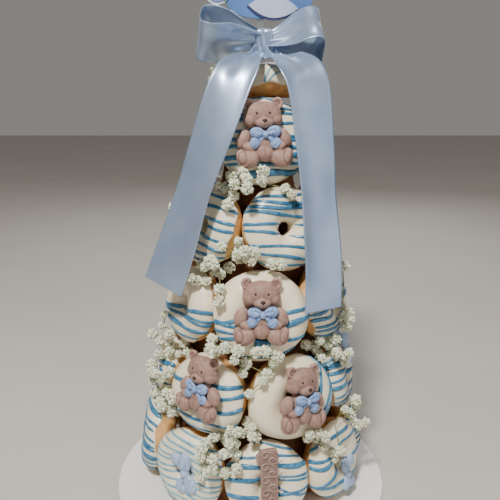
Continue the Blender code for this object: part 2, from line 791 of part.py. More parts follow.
def stems(start, end, obstacles):
    """A straight stem, or two that meet as far out as it takes to clear what is under them"""
    if obstacles.clear_between(start, end, STEM_RADIUS):
        return [rod(start, end, STEM_RADIUS)]
    middle = (start + end) / 2
    outward = (middle - axis_point(middle.z)).normalized()
    for _ in range(40):
        middle += outward * 0.5 * MM
        if obstacles.clear_between(start, middle, STEM_RADIUS) and obstacles.clear_between(
            middle, end, STEM_RADIUS
        ):
            break
    overlap = (middle - end).normalized() * STEM_RADIUS
    return [rod(start, middle, STEM_RADIUS), rod(middle + overlap, end, STEM_RADIUS)]


def spray_spots(angle, height, half_along, half_up, count, obstacles, rand):
    """Head centres spread over an oval patch of the tower's side, no two of them too near"""
    radius = obstacles.reach(angle, height, HEAD_RADIUS)
    spots, places = [], []
    tries = 0
    while len(spots) < count and tries < 4000:
        tries += 1
        u, v = rand.uniform(-1, 1), rand.uniform(-1, 1)
        if u * u + v * v > 1:
            continue
        spot = (angle + u * half_along / radius, height + v * half_up)
        centre = obstacles.touch(*spot, HEAD_RADIUS)
        if all((centre - other).length > 1.75 * HEAD_RADIUS for other in places):
            spots.append(spot)
            places.append(centre)
    return spots, places


def build_spray(name, angle, height, half_along, half_up, count, obstacles, rand, finish):
    """Heads on thin stems that branch from one root; the stems lie just clear of what is under them"""
    angle = math.radians(angle)
    spots, centres = spray_spots(angle, height, half_along, half_up, count, obstacles, rand)
    order = sorted(range(len(spots)), key=lambda k: math.hypot((spots[k][0] - angle) * 0.1,
                                                               spots[k][1] - height))
    meshes = [head(centres[order[0]], HEAD_RADIUS * 1.05, rand)]
    joined = [order[0]]
    for k in order[1:]:
        nearest = min(joined, key=lambda j: (centres[k] - centres[j]).length)
        meshes.append(head(centres[k], HEAD_RADIUS * rand.uniform(0.92, 1.05), rand))
        meshes += stems(centres[nearest], centres[k], obstacles)
        joined.append(k)
    spray = fused(name, meshes, finish)
    keep_largest(spray)
    return spray


# --- Everything ------------------------------------------------------------------------------------------


def build():
    clear_scene()
    glaze = material("glaze", (0.87, 0.82, 0.70), 0.35)
    card_white = material("board_white", (0.85, 0.85, 0.84), 0.45)
    crumb = material("core_brown", (0.20, 0.10, 0.05), 0.8)
    bear_brown = material("bear_brown", (0.40, 0.27, 0.23), 0.75)
    sugar_blue = material("sugar_blue", (0.42, 0.56, 0.78), 0.6)
    satin = material("satin", (0.52, 0.64, 0.75), 0.3)
    flower = material("flower", (0.80, 0.79, 0.68), 0.8)
    clear = material("clear_stick", (0.9, 0.95, 0.95), 0.1, alpha=0.35)
    blue_card = material("blue_card", (0.10, 0.23, 0.49), 0.5)
    pale_card = material("pale_card", (0.42, 0.49, 0.68), 0.5)
    rim_card = material("rim_card", (0.55, 0.72, 0.75), 0.5)

    build_board(card_white)
    tiers = stack()
    solids = []
    for level, rings in enumerate(tiers[:-1]):
        for index, ring in enumerate(rings):
            solids.append(build_doughnut(f"doughnut_{level + 1}_{index + 1}", ring, glaze))
    solids.append(build_doughnut("doughnut_cap", tiers[-1][0], glaze))
    core, core_top = build_core(tiers, crumb)

    for name, level, index, right, up, turn, facing in BEAR_SPOTS:
        solids += build_bear(name, tiers[level][index], right, up, turn, facing, bear_brown, sugar_blue)
    for name, level, index, right, up, turn, length in BOW_SPOTS:
        solids.append(build_fondant_bow(name, tiers[level][index], right, up, turn, length, sugar_blue))
    solids.append(build_figure(tiers[0][0], bear_brown))

    solids.append(build_bow(satin))
    solids.append(build_tail("satin_tail_left", LEFT_TAIL, 0.15, satin))
    solids.append(build_tail("satin_tail_right", RIGHT_TAIL, -0.3, satin))
    solids += build_topper(core_top, clear, blue_card, pale_card, rim_card)

    bpy.context.view_layer.update()
    obstacles = Obstacles(solids + [core])
    rand = random.Random(5)
    for name, angle, height, half_along, half_up, count in SPRAYS:
        spray = build_spray(name, angle, height, half_along, half_up, count, obstacles, rand, flower)
        bpy.context.view_layer.update()
        obstacles.add(spray)


build()
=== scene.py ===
import math
import random

import bmesh
import bpy
import numpy as np
from mathutils import Matrix, Vector, noise
from mathutils.bvhtree import BVHTree


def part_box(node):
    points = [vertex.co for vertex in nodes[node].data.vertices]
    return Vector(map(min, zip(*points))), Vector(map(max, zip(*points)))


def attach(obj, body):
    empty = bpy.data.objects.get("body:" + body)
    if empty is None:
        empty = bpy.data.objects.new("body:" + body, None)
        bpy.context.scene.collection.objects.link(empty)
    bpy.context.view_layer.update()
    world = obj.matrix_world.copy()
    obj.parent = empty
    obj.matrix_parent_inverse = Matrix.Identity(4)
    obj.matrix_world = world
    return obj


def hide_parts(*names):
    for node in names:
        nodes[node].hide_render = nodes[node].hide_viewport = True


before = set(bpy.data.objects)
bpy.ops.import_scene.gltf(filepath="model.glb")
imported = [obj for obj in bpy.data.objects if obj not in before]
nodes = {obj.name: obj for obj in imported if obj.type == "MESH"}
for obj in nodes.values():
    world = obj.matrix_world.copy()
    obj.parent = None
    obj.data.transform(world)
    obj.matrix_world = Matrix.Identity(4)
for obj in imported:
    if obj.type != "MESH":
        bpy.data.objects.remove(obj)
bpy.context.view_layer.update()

MM = 0.001

# --- Named sizes -----------------------------------------------------------------------------------------

# The same as the part's, but for the ties, the ribbon's thickness, the knot, the heads and the stems
GAP = 0.4 * MM
BOARD_RADIUS = 152.5 * MM
BOARD_THICKNESS = 4 * MM
TOWER_X = 2 * MM
TOWER_Y = 24 * MM
TOWER_SLANT = 0.016
TIER_COUNTS = (8, 7, 6, 5, 4)
RING_RADIUS = 42.5 * MM
TUBE_HALF_WIDTH = 18 * MM
TUBE_HALF_DEPTH = 17 * MM
TUBE_CENTRE = RING_RADIUS - TUBE_HALF_WIDTH
SIDE_SPREAD = 1.05
BEAR_HEIGHT = 64 * MM
BEAR_UNIT = BEAR_HEIGHT / 62
TIE_SPOT = Vector((1.0, -1.6, 9.4)) * BEAR_UNIT
TIE_LENGTH = 31 * MM
RIBBON_WIDTH = 40 * MM
RIBBON_THICKNESS = 0.5 * MM
GATHERED_WIDTH = 14 * MM
KNOT = Vector((13, 5, 479)) * MM
KNOT_RADII = Vector((10.2, 9.2, 11.8)) * MM
CARD_THICKNESS = 1.6 * MM
HEAD_RADIUS = 7.2 * MM
STEM_RADIUS = 0.55 * MM


# --- Materials -------------------------------------------------------------------------------------------


def srgb(r, g, b):
    """A colour as it looks on screen, from 0 to 255, in the shader's own scale"""
    scaled = [c / 255 for c in (r, g, b)]
    return tuple(c / 12.92 if c <= 0.04045 else ((c + 0.055) / 1.055) ** 2.4 for c in scaled)


class Finish:
    """A node material that is put together a step at a time, on object coordinates in metres"""

    def __init__(self, name, roughness, **sockets):
        self.material = bpy.data.materials.new(name)
        self.material.use_nodes = True
        self.nodes = self.material.node_tree.nodes
        self.shader = self.nodes["Principled BSDF"]
        self.shader.inputs["Roughness"].default_value = roughness
        for socket, value in sockets.items():
            self.shader.inputs[socket.replace("_", " ")].default_value = value
        self.place = self.nodes.new("ShaderNodeTexCoord").outputs["Object"]
        self.height = None

    def link(self, source, target):
        self.material.node_tree.links.new(source, target)

    def stretched(self, scale):
        mapping = self.nodes.new("ShaderNodeMapping")
        mapping.inputs["Scale"].default_value = scale
        self.link(self.place, mapping.inputs["Vector"])
        return mapping.outputs["Vector"]

    def noise(self, size, detail=3.0, stretch=None, rough=0.55):
        """Cloudy noise whose lumps are about so many metres across"""
        made = self.nodes.new("ShaderNodeTexNoise")
        made.inputs["Scale"].default_value = 1 / size
        made.inputs["Detail"].default_value = detail
        made.inputs["Roughness"].default_value = rough
        self.link(self.stretched(stretch) if stretch else self.place, made.inputs["Vector"])
        return made.outputs["Fac"]

    def cells(self, size, feature="F1"):
        made = self.nodes.new("ShaderNodeTexVoronoi")
        made.feature = feature
        made.inputs["Scale"].default_value = 1 / size
        self.link(self.place, made.inputs["Vector"])
        return made.outputs["Distance"]

    def ramp(self, source, *stops):
        """Colours along a factor: each stop is a position and a colour"""
        made = self.nodes.new("ShaderNodeValToRGB")
        points = made.color_ramp.elements
        while len(points) < len(stops):
            points.new(0.5)
        for point, (position, colour) in zip(points, stops):
            point.position = position
            point.color = (*colour, 1.0)
        self.link(source, made.inputs["Fac"])
        return made.outputs["Color"]

    def mix(self, factor, first, second, kind="MIX"):
        made = self.nodes.new("ShaderNodeMix")
        made.data_type = "RGBA"
        made.blend_type = kind
        for socket, value in ((0, factor), (6, first), (7, second)):
            if hasattr(value, "links"):
                self.link(value, made.inputs[socket])
            else:
                made.inputs[socket].default_value = value if socket == 0 else (*value, 1.0)
        return made.outputs[2]

    def span(self, source, low, high):
        made = self.nodes.new("ShaderNodeMapRange")
        made.inputs["To Min"].default_value = low
        made.inputs["To Max"].default_value = high
        self.link(source, made.inputs["Value"])
        return made.outputs["Result"]

    def colour(self, source):
        self.link(source, self.shader.inputs["Base Color"])

    def dull(self, source, low, high):
        self.link(self.span(source, low, high), self.shader.inputs["Roughness"])

    def bump(self, source, distance, strength=1.0):
        """Adds relief so many metres high, over any relief that is there already"""
        made = self.nodes.new("ShaderNodeBump")
        made.inputs["Strength"].default_value = strength
        made.inputs["Distance"].default_value = distance
        self.link(source, made.inputs["Height"])
        if self.height:
            self.link(self.height, made.inputs["Normal"])
        self.height = made.outputs["Normal"]
        self.link(self.height, self.shader.inputs["Normal"])

    def hollows(self, low, high):
        """A factor from how the surface curves: low where it is hollow, high on edges"""
        geometry = self.nodes.new("ShaderNodeNewGeometry")
        made = self.nodes.new("ShaderNodeMapRange")
        made.inputs["From Min"].default_value = low
        made.inputs["From Max"].default_value = high
        self.link(geometry.outputs["Pointiness"], made.inputs["Value"])
        return made.outputs["Result"]


def glaze_finish():
    made = Finish("glaze", 0.3, Subsurface_Weight=0.18, Subsurface_Scale=0.004, Coat_Weight=0.25,
                  Coat_Roughness=0.18)
    made.shader.inputs["Subsurface Radius"].default_value = (1.0, 0.7, 0.4)
    cloud = made.noise(24 * MM, 4)
    base = made.ramp(cloud, (0.3, srgb(236, 221, 190)), (0.7, srgb(248, 239, 217)))
    thin = made.ramp(made.noise(9 * MM, 5), (0.68, (0, 0, 0)), (0.82, (1, 1, 1)))
    made.colour(made.mix(made.span(thin, 0.0, 0.35), base, srgb(224, 196, 148)))
    made.dull(made.noise(15 * MM, 2), 0.24, 0.42)
    made.bump(made.noise(7 * MM, 2), 0.35 * MM, 0.5)
    made.bump(made.noise(0.9 * MM, 3), 0.05 * MM, 0.4)
    return made.material


def dough_finish():
    made = Finish("fried_dough", 0.6, Subsurface_Weight=0.08, Subsurface_Scale=0.003)
    cloud = made.noise(14 * MM, 6, rough=0.65)
    base = made.ramp(cloud, (0.3, srgb(182, 126, 68)), (0.52, srgb(222, 174, 112)),
                     (0.72, srgb(240, 206, 150)))
    pores = made.ramp(made.cells(1.6 * MM), (0.08, (1, 1, 1)), (0.3, (0, 0, 0)))
    made.colour(made.mix(made.span(pores, 0.0, 0.5), base, srgb(142, 92, 50)))
    made.bump(made.noise(2.2 * MM, 5), 0.3 * MM, 0.6)
    return made.material


def drizzle_finish(name, deep, light):
    made = Finish(name, 0.3, Coat_Weight=0.2, Coat_Roughness=0.15, Subsurface_Weight=0.08,
                  Subsurface_Scale=0.002)
    made.colour(made.ramp(made.noise(6 * MM, 3), (0.35, deep), (0.7, light)))
    made.dull(made.noise(5 * MM, 2), 0.18, 0.36)
    made.bump(made.noise(4 * MM, 2), 0.12 * MM, 0.4)
    return made.material


def fondant_finish(name, deep, light, hollow, dimple):
    made = Finish(name, 0.62, Subsurface_Weight=0.1, Subsurface_Scale=0.002, Sheen_Weight=0.08)
    cloud = made.ramp(made.noise(6 * MM, 5, rough=0.6), (0.3, srgb(*deep)), (0.7, srgb(*light)))
    # Painted shade: the hollow colour darkens the fondant's creases and hollows, where shade falls
    made.colour(made.mix(made.hollows(0.44, 0.53), srgb(*hollow), cloud))
    made.dull(made.noise(3 * MM, 3), 0.5, 0.75)
    made.bump(made.cells(dimple), 0.25 * MM, 0.5)
    made.bump(made.noise(0.5 * MM, 3), 0.05 * MM, 0.5)
    return made.material


def satin_finish():
    made = Finish("satin", 0.34, Metallic=0.55, Anisotropic=0.5, Sheen_Weight=0.1, Sheen_Roughness=0.4,
                  Specular_IOR_Level=0.6)
    cloud = made.noise(45 * MM, 3)
    base = made.ramp(cloud, (0.3, srgb(130, 151, 182)), (0.7, srgb(156, 175, 204)))
    thread_relief_and_sheen = made.noise(0.5 * MM, 2, stretch=(1, 1, 0.06))
    # The lighter streaks along the threads are a painted highlight of the satin's sheen; the same noise gives
    # the threads' relief
    made.colour(made.mix(made.span(thread_relief_and_sheen, 0.0, 0.16), base, srgb(208, 219, 233)))
    made.dull(made.noise(20 * MM, 3, stretch=(1, 1, 0.3)), 0.26, 0.4)
    made.bump(thread_relief_and_sheen, 0.05 * MM, 0.5)
    made.bump(made.noise(14 * MM, 3, stretch=(1, 1, 0.4)), 0.5 * MM, 0.35)
    return made.material


def petal_finish():
    made = Finish("blossom_petals", 0.7, Subsurface_Weight=0.25, Subsurface_Scale=0.002)
    cloud = made.ramp(made.noise(3.5 * MM, 3), (0.3, srgb(246, 244, 230)), (0.6, srgb(255, 254, 248)))
    # Darker yellow-green in the crevices between petals: partly the flowers' greenish heart, partly painted
    # shade
    made.colour(made.mix(made.hollows(0.33, 0.46), srgb(226, 226, 194), cloud))
    made.bump(made.noise(0.8 * MM, 2), 0.15 * MM, 0.6)
    return made.material


def stem_finish():
    made = Finish("blossom_stem", 0.55)
    made.colour(made.ramp(made.noise(5 * MM, 3), (0.3, srgb(84, 92, 46)), (0.7, srgb(138, 142, 84))))
    made.bump(made.noise(0.8 * MM, 3, stretch=(1, 1, 0.2)), 0.1 * MM, 0.5)
    return made.material


def plain_finish(name, roughness, clouds, dulling, relief, **sockets):
    """Two colours in clouds over a soft relief; each group starts with its noise's size in mm and detail"""
    made = Finish(name, roughness, **sockets)
    size, detail, deep, light = clouds
    made.colour(made.ramp(made.noise(size * MM, detail), (0.3, srgb(*deep)), (0.7, srgb(*light))))
    if dulling:
        size, detail, low, high = dulling
        made.dull(made.noise(size * MM, detail), low, high)
    size, detail, distance, strength = relief
    made.bump(made.noise(size * MM, detail), distance * MM, strength)
    return made.material


def card_finish(name, deep, light):
    return plain_finish(name, 0.55, (30, 3, deep, light), (8, 3, 0.46, 0.64), (0.7, 4, 0.04, 0.5))


GLAZE = glaze_finish()
DOUGH = dough_finish()
DRIZZLE = drizzle_finish("blue_drizzle", srgb(38, 102, 142), srgb(76, 140, 176))
SOFT_DRIZZLE = drizzle_finish("pale_drizzle", srgb(96, 158, 186), srgb(140, 188, 206))
# The fourth colour of each fondant is painted shade for its creases and hollows
BEAR = fondant_finish("brown_fondant", (152, 118, 106), (178, 145, 132), (86, 54, 44), 1.7 * MM)
FIGURE = fondant_finish("figure_fondant", (140, 112, 104), (168, 140, 132), (76, 50, 44), 4 * MM)
TIE = fondant_finish("blue_fondant", (118, 148, 200), (158, 184, 226), (50, 74, 124), 5 * MM)
PALE_BOW = fondant_finish("pale_fondant", (158, 180, 214), (190, 206, 230), (104, 128, 172), 5 * MM)
NOSE = fondant_finish("nose_fondant", (40, 22, 18), (66, 38, 32), (24, 12, 10), 1 * MM)
SATIN = satin_finish()
PETAL = petal_finish()
STEM = stem_finish()
BLUE_CARD = card_finish("blue_card", (66, 102, 160), (80, 118, 176))
PALE_CARD = card_finish("pale_card", (166, 176, 208), (184, 193, 220))
EDGE_CARD = card_finish("edge_card", (178, 206, 210), (200, 222, 224))
VIOLET_CARD = card_finish("violet_card", (112, 124, 186), (130, 142, 200))
# The dark card is a painted shadow along the pale leaf's lower left edge
LEAF_SHADOW_CARD = card_finish("dark_card", (40, 46, 92), (54, 60, 110))
YELLOW_CARD = card_finish("yellow_card", (222, 200, 110), (236, 216, 134))
BOARD = plain_finish("board_card", 0.42, (60, 4, (232, 231, 228), (243, 243, 241)), (12, 3, 0.36, 0.52),
                     (2.4, 3, 0.06, 0.5), Coat_Weight=0.1, Coat_Roughness=0.4)
STICK = plain_finish("clear_stick", 0.08, (20, 3, (214, 224, 228), (236, 242, 244)), None, (9, 2, 0.08, 0.4),
                     Transmission_Weight=0.9, IOR=1.49, Coat_Weight=0.2)
# The core's dark brown, darker than the dough, is painted shade: seen through the gaps between the doughnuts
# it stands for shaded dough
CORE = plain_finish("core", 0.85, (12, 5, (88, 54, 32), (138, 90, 54)), None, (3, 5, 0.6, 0.7))
FLOOR = plain_finish("floor", 0.7, (400, 3, (190, 184, 176), (197, 192, 184)), None, (2, 3, 0.05, 0.3))


# --- Making pieces ---------------------------------------------------------------------------------------


def linked(name, data):
    """A new object in the scene"""
    obj = bpy.data.objects.new(name, data)
    bpy.context.scene.collection.objects.link(obj)
    return obj


def piece(name, mesh, materials, replaced=(), smooth=True):
    """A piece of the object in the row's frame, which rides on its one body"""
    obj = linked(name, mesh)
    for material in materials:
        mesh.materials.append(material)
    if smooth:
        mesh.shade_smooth()
    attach(obj, "root")
    if replaced:
        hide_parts(*replaced)
    return obj


def repaint(name, material):
    """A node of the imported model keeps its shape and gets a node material"""
    materials = nodes[name].data.materials
    materials.clear()
    materials.append(material)


def mesh_of(name, points, faces, groups=None):
    mesh = bpy.data.meshes.new(name)
    mesh.from_pydata([tuple(p) for p in points], [], [tuple(f) for f in faces])
    if groups is not None:
        mesh.polygons.foreach_set("material_index", list(groups))
    mesh.update()
    return mesh


class Parts:
    """Points and faces of several forms, gathered into one mesh"""

    def __init__(self):
        self.points, self.faces, self.groups = [], [], []
        self.count = 0

    def add(self, points, faces, group=0):
        points = np.asarray(points, float).reshape(-1, 3)
        faces = [tuple(v + self.count for v in face) for face in faces]
        self.points.append(points)
        self.faces += faces
        self.groups += [group] * len(faces)
        self.count += len(points)

    def mesh(self, name):
        return mesh_of(name, np.concatenate(self.points), self.faces, self.groups)


def grid_faces(rows, columns, wrap_rows=False, wrap_columns=False):
    """Quads over a grid of points that are numbered row by row"""
    faces = []
    for i in range(rows if wrap_rows else rows - 1):
        here, there = i * columns, (i + 1) % rows * columns
        for j in range(columns if wrap_columns else columns - 1):
            after = (j + 1) % columns
            faces.append((here + j, here + after, there + after, there + j))
    return faces


def capped_faces(rows, sides):
    """The faces of a tube of so many rings, with one point before the first and one after the last"""
    last = rows * sides + 1
    faces = []
    for k in range(sides):
        after = (k + 1) % sides
        faces.append((0, 1 + after, 1 + k))
        faces.append((last, last - sides + k, last - sides + after))
    return faces + [tuple(v + 1 for v in face) for face in grid_faces(rows, sides, False, True)]


def lidded_faces(rows, sides):
    """The faces of a tube of so many rings, with a flat lid on each end"""
    lids = [tuple(range(sides))[::-1], tuple(range((rows - 1) * sides, rows * sides))]
    return grid_faces(rows, sides, False, True) + lids


def outwards(mesh):
    """The mesh with its faces turned outwards"""
    form = bmesh.new()
    form.from_mesh(mesh)
    bmesh.ops.recalc_face_normals(form, faces=form.faces)
    form.to_mesh(mesh)
    form.free()
    return mesh


def applied(mesh, *modifiers):
    """The mesh with modifiers applied; each is a kind and its settings"""
    obj = linked("working", mesh)
    for kind, settings in modifiers:
        modifier = obj.modifiers.new(kind, kind)
        for key, value in settings.items():
            setattr(modifier, key, value)
    graph = bpy.context.evaluated_depsgraph_get()
    result = bpy.data.meshes.new_from_object(obj.evaluated_get(graph))
    bpy.data.objects.remove(obj, do_unlink=True)
    bpy.data.meshes.remove(mesh)
    return result


def tube(path, radii, sides=6, flat=1.0, normals=None):
    """A closed tube with rounded ends along a path, flattened along the normals where they are given"""
    path = np.asarray(path, float)
    radii = np.broadcast_to(np.asarray(radii, float), len(path)).copy()
    ahead = np.gradient(path, axis=0)
    ahead /= np.linalg.norm(ahead, axis=1)[:, None] + 1e-12
    if normals is None:
        normals = np.zeros_like(path)
        last = np.array((0.0, 0.0, 1.0)) if abs(ahead[0][2]) < 0.9 else np.array((1.0, 0.0, 0.0))
        for k, along in enumerate(ahead):
            last = last - along * last.dot(along)
            last /= np.linalg.norm(last) + 1e-12
            normals[k] = last
    normals = normals - ahead * (normals * ahead).sum(1)[:, None]
    normals /= np.linalg.norm(normals, axis=1)[:, None] + 1e-12
    sideways = np.cross(ahead, normals)
    turns = 2 * math.pi * np.arange(sides) / sides
    rings = []
    for k in range(len(path)):
        reach = radii[k]
        rings.append(path[k] + reach * (np.cos(turns)[:, None] * sideways[k]
                                        + flat * np.sin(turns)[:, None] * normals[k]))
    points = np.concatenate([path[:1] - ahead[:1] * radii[0] * 0.5] + rings
                            + [path[-1:] + ahead[-1:] * radii[-1] * 0.5])
    return points, capped_faces(len(path), sides)


def smooth_path(points, count):
    """Evenly numbered points on a Catmull-Rom curve through a few given ones"""
    points = np.asarray(points, float)
    last = len(points) - 1
    out = []
    for k in range(count + 1):
        t = k / count * last
        i = min(int(t), last - 1)
        f = t - i
        p0, p1, p2, p3 = points[max(i - 1, 0)], points[i], points[i + 1], points[min(i + 2, last)]
        out.append(0.5 * (2 * p1 + (p2 - p0) * f + (2 * p0 - 5 * p1 + 4 * p2 - p3) * f * f
                          + (3 * p1 - p0 - 3 * p2 + p3) * f ** 3))
    return np.array(out)


def lump(centre, radii, turn=0.0, detail=3):
    """A round lump as points and faces, turned about the Z axis by so many degrees"""
    form = bmesh.new()
    place = Matrix.Translation(centre) @ Matrix.Rotation(math.radians(turn), 4, "Z")
    place = place @ Matrix.Diagonal((*radii, 1.0))
    bmesh.ops.create_icosphere(form, subdivisions=detail, radius=1.0, matrix=place)
    points = [v.co.copy() for v in form.verts]
    faces = [[v.index for v in f.verts] for f in form.faces]
    form.free()
    return points, faces


def axis_point(height):
    return Vector((TOWER_X + TOWER_SLANT * height, TOWER_Y, height))


# --- Doughnuts -------------------------------------------------------------------------------------------

AROUND = 88
GLAZE_ROWS = 28
DOUGH_ROWS = 9
GLAZE_EDGE = math.radians(3)  # where the glaze stops at the outer rim
GLAZE_INSIDE = math.radians(200)  # and inside the hole
GLAZE_THICKNESS = 1.3 * MM
CAP_RUN = 0.3  # how much further down it has run on the cap, in radians
DRIZZLE_SPREAD = 1.42  # how much wider a line has run than it was piped
SPANNED = 0.9927  # the share of a ring's true height that its coarse solid spans
PRESSED = 0.94  # from this share of the room at its side a doughnut is pressed flat
HOLE_SHARE = -0.96  # across the tube, from -1 in the hole to 1 at the rim: a line stops here
RIM_SHARE = 0.8  # and goes down the side from here


class Ring:
    """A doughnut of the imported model, found from its node; x is to the side, y up, z out of its face"""

    def __init__(self, name):
        points = np.array([v.co for v in nodes[name].data.vertices])
        self.name = name
        self.centre = points.mean(0)
        self.flat = name == "doughnut_cap"
        if self.flat:
            side, up, face = (1, 0, 0), (0, 1, 0), (0, 0, 1)
            self.level = 0
        else:
            face = np.linalg.svd(points - self.centre, full_matrices=False)[2][2]
            outward = self.centre - np.array(axis_point(self.centre[2]))
            face = face * np.sign(face[:2].dot(outward[:2]))
            flat = face[:2] / np.linalg.norm(face[:2])
            side = np.array((-flat[1], flat[0], 0))
            up = np.cross(face, side)
            self.level = int(name.split("_")[1])
            self.outward = np.array((*flat, 0))
        self.side, self.up, self.face = (np.array(v, float) for v in (side, up, face))
        heights = (points - self.centre) @ self.up
        self.size = (heights.max() - heights.min()) / (2 * RING_RADIUS * SPANNED)
        rand = random.Random(name)
        self.phases = [rand.uniform(0, 2 * math.pi) for _ in range(10)]

    def place(self):
        turn = Matrix((self.side, self.up, self.face)).transposed().to_4x4()
        return Matrix.Translation(self.centre) @ turn

    def crest(self, lift=0.0):
        return TUBE_HALF_DEPTH * self.size + GAP + lift

    def glaze_edge(self, around):
        """The angle of the section where the glaze has stopped running"""
        p = self.phases
        run = 0.2 * np.sin(2 * around + p[4]) + 0.14 * np.sin(5 * around + p[5])
        run = run + 0.06 * np.sin(11 * around + p[6])
        return GLAZE_EDGE + run - (CAP_RUN if self.flat else 0.0)

    def unevenness(self, around, turn):
        p = self.phases
        waves = 0.34 * np.sin(2 * around + p[0]) + 0.26 * np.sin(3 * around + turn + p[1])
        waves += 0.2 * np.sin(5 * around - turn + p[2]) + 0.12 * np.sin(9 * around + 2 * turn + p[3])
        return waves * MM

    def surface(self, around, turn, lift=0.0):
        """Points on the doughnut, from the angle round it and the angle round its section"""
        around, turn = np.broadcast_arrays(np.asarray(around, float), np.asarray(turn, float))
        lift = lift + self.unevenness(around, turn)
        reach = TUBE_CENTRE * self.size + (TUBE_HALF_WIDTH * self.size + lift) * np.cos(turn)
        deep = (TUBE_HALF_DEPTH * self.size + lift) * np.sin(turn)
        local = (SIDE_SPREAD * reach * np.cos(around), reach * np.sin(around), deep)
        world = self.centre + sum(l[..., None] * a for l, a in zip(local, (self.side, self.up, self.face)))
        if self.flat:
            return world
        half = math.pi / TIER_COUNTS[self.level - 1]
        axis = np.stack((TOWER_X + TOWER_SLANT * world[..., 2], np.full(world.shape[:-1], TOWER_Y)), -1)
        rel = world[..., :2] - axis
        out, across = rel @ self.outward[:2], rel @ self.side[:2]
        limit = np.maximum(out * math.tan(half) - 0.3 * GAP / math.cos(half), 1 * MM)
        share = across / limit
        soft = PRESSED + (1 - PRESSED) * np.tanh((np.abs(share) - PRESSED) / (1 - PRESSED))
        share = np.where(np.abs(share) > PRESSED, np.sign(share) * soft, share)
        return world + (share * limit - across)[..., None] * self.side

    def at(self, x, y):
        """The angles of the place at x and y in mm on the glazed face; past the rim it goes down the side"""
        x, y = x * MM / SIDE_SPREAD, y * MM
        share = (math.hypot(x, y) / self.size - TUBE_CENTRE) / TUBE_HALF_WIDTH
        around = math.atan2(y, x)
        if share < HOLE_SHARE:
            return None
        if share > RIM_SHARE:
            return around, math.acos(RIM_SHARE) - (share - RIM_SHARE) * 1.5
        return around, math.acos(share)


def doughnut_mesh(ring):
    around = 2 * math.pi * np.arange(AROUND) / AROUND
    start = ring.glaze_edge(around)
    end = GLAZE_INSIDE + 0.1 * np.sin(2 * around + ring.phases[7])
    rows = []
    for k in range(GLAZE_ROWS + 1):
        even = k / GLAZE_ROWS
        share = 0.6 * even + 0.4 * (1 - math.cos(math.pi * even)) / 2
        edge = min(1.0, min(share, 1 - share) / 0.03)
        thick = GLAZE_THICKNESS * math.sqrt(1 - (1 - edge) ** 2) - GLAZE_THICKNESS
        rows.append(ring.surface(around, start + (end - start) * share, thick))
    for k in range(1, DOUGH_ROWS):
        share = k / DOUGH_ROWS
        rows.append(ring.surface(around, end + (start + 2 * math.pi - end) * share, -GLAZE_THICKNESS))
    faces = grid_faces(len(rows), AROUND, True, True)
    groups = [0 if i // AROUND < GLAZE_ROWS else 1 for i in range(len(faces))]
    return np.concatenate(rows), faces, groups


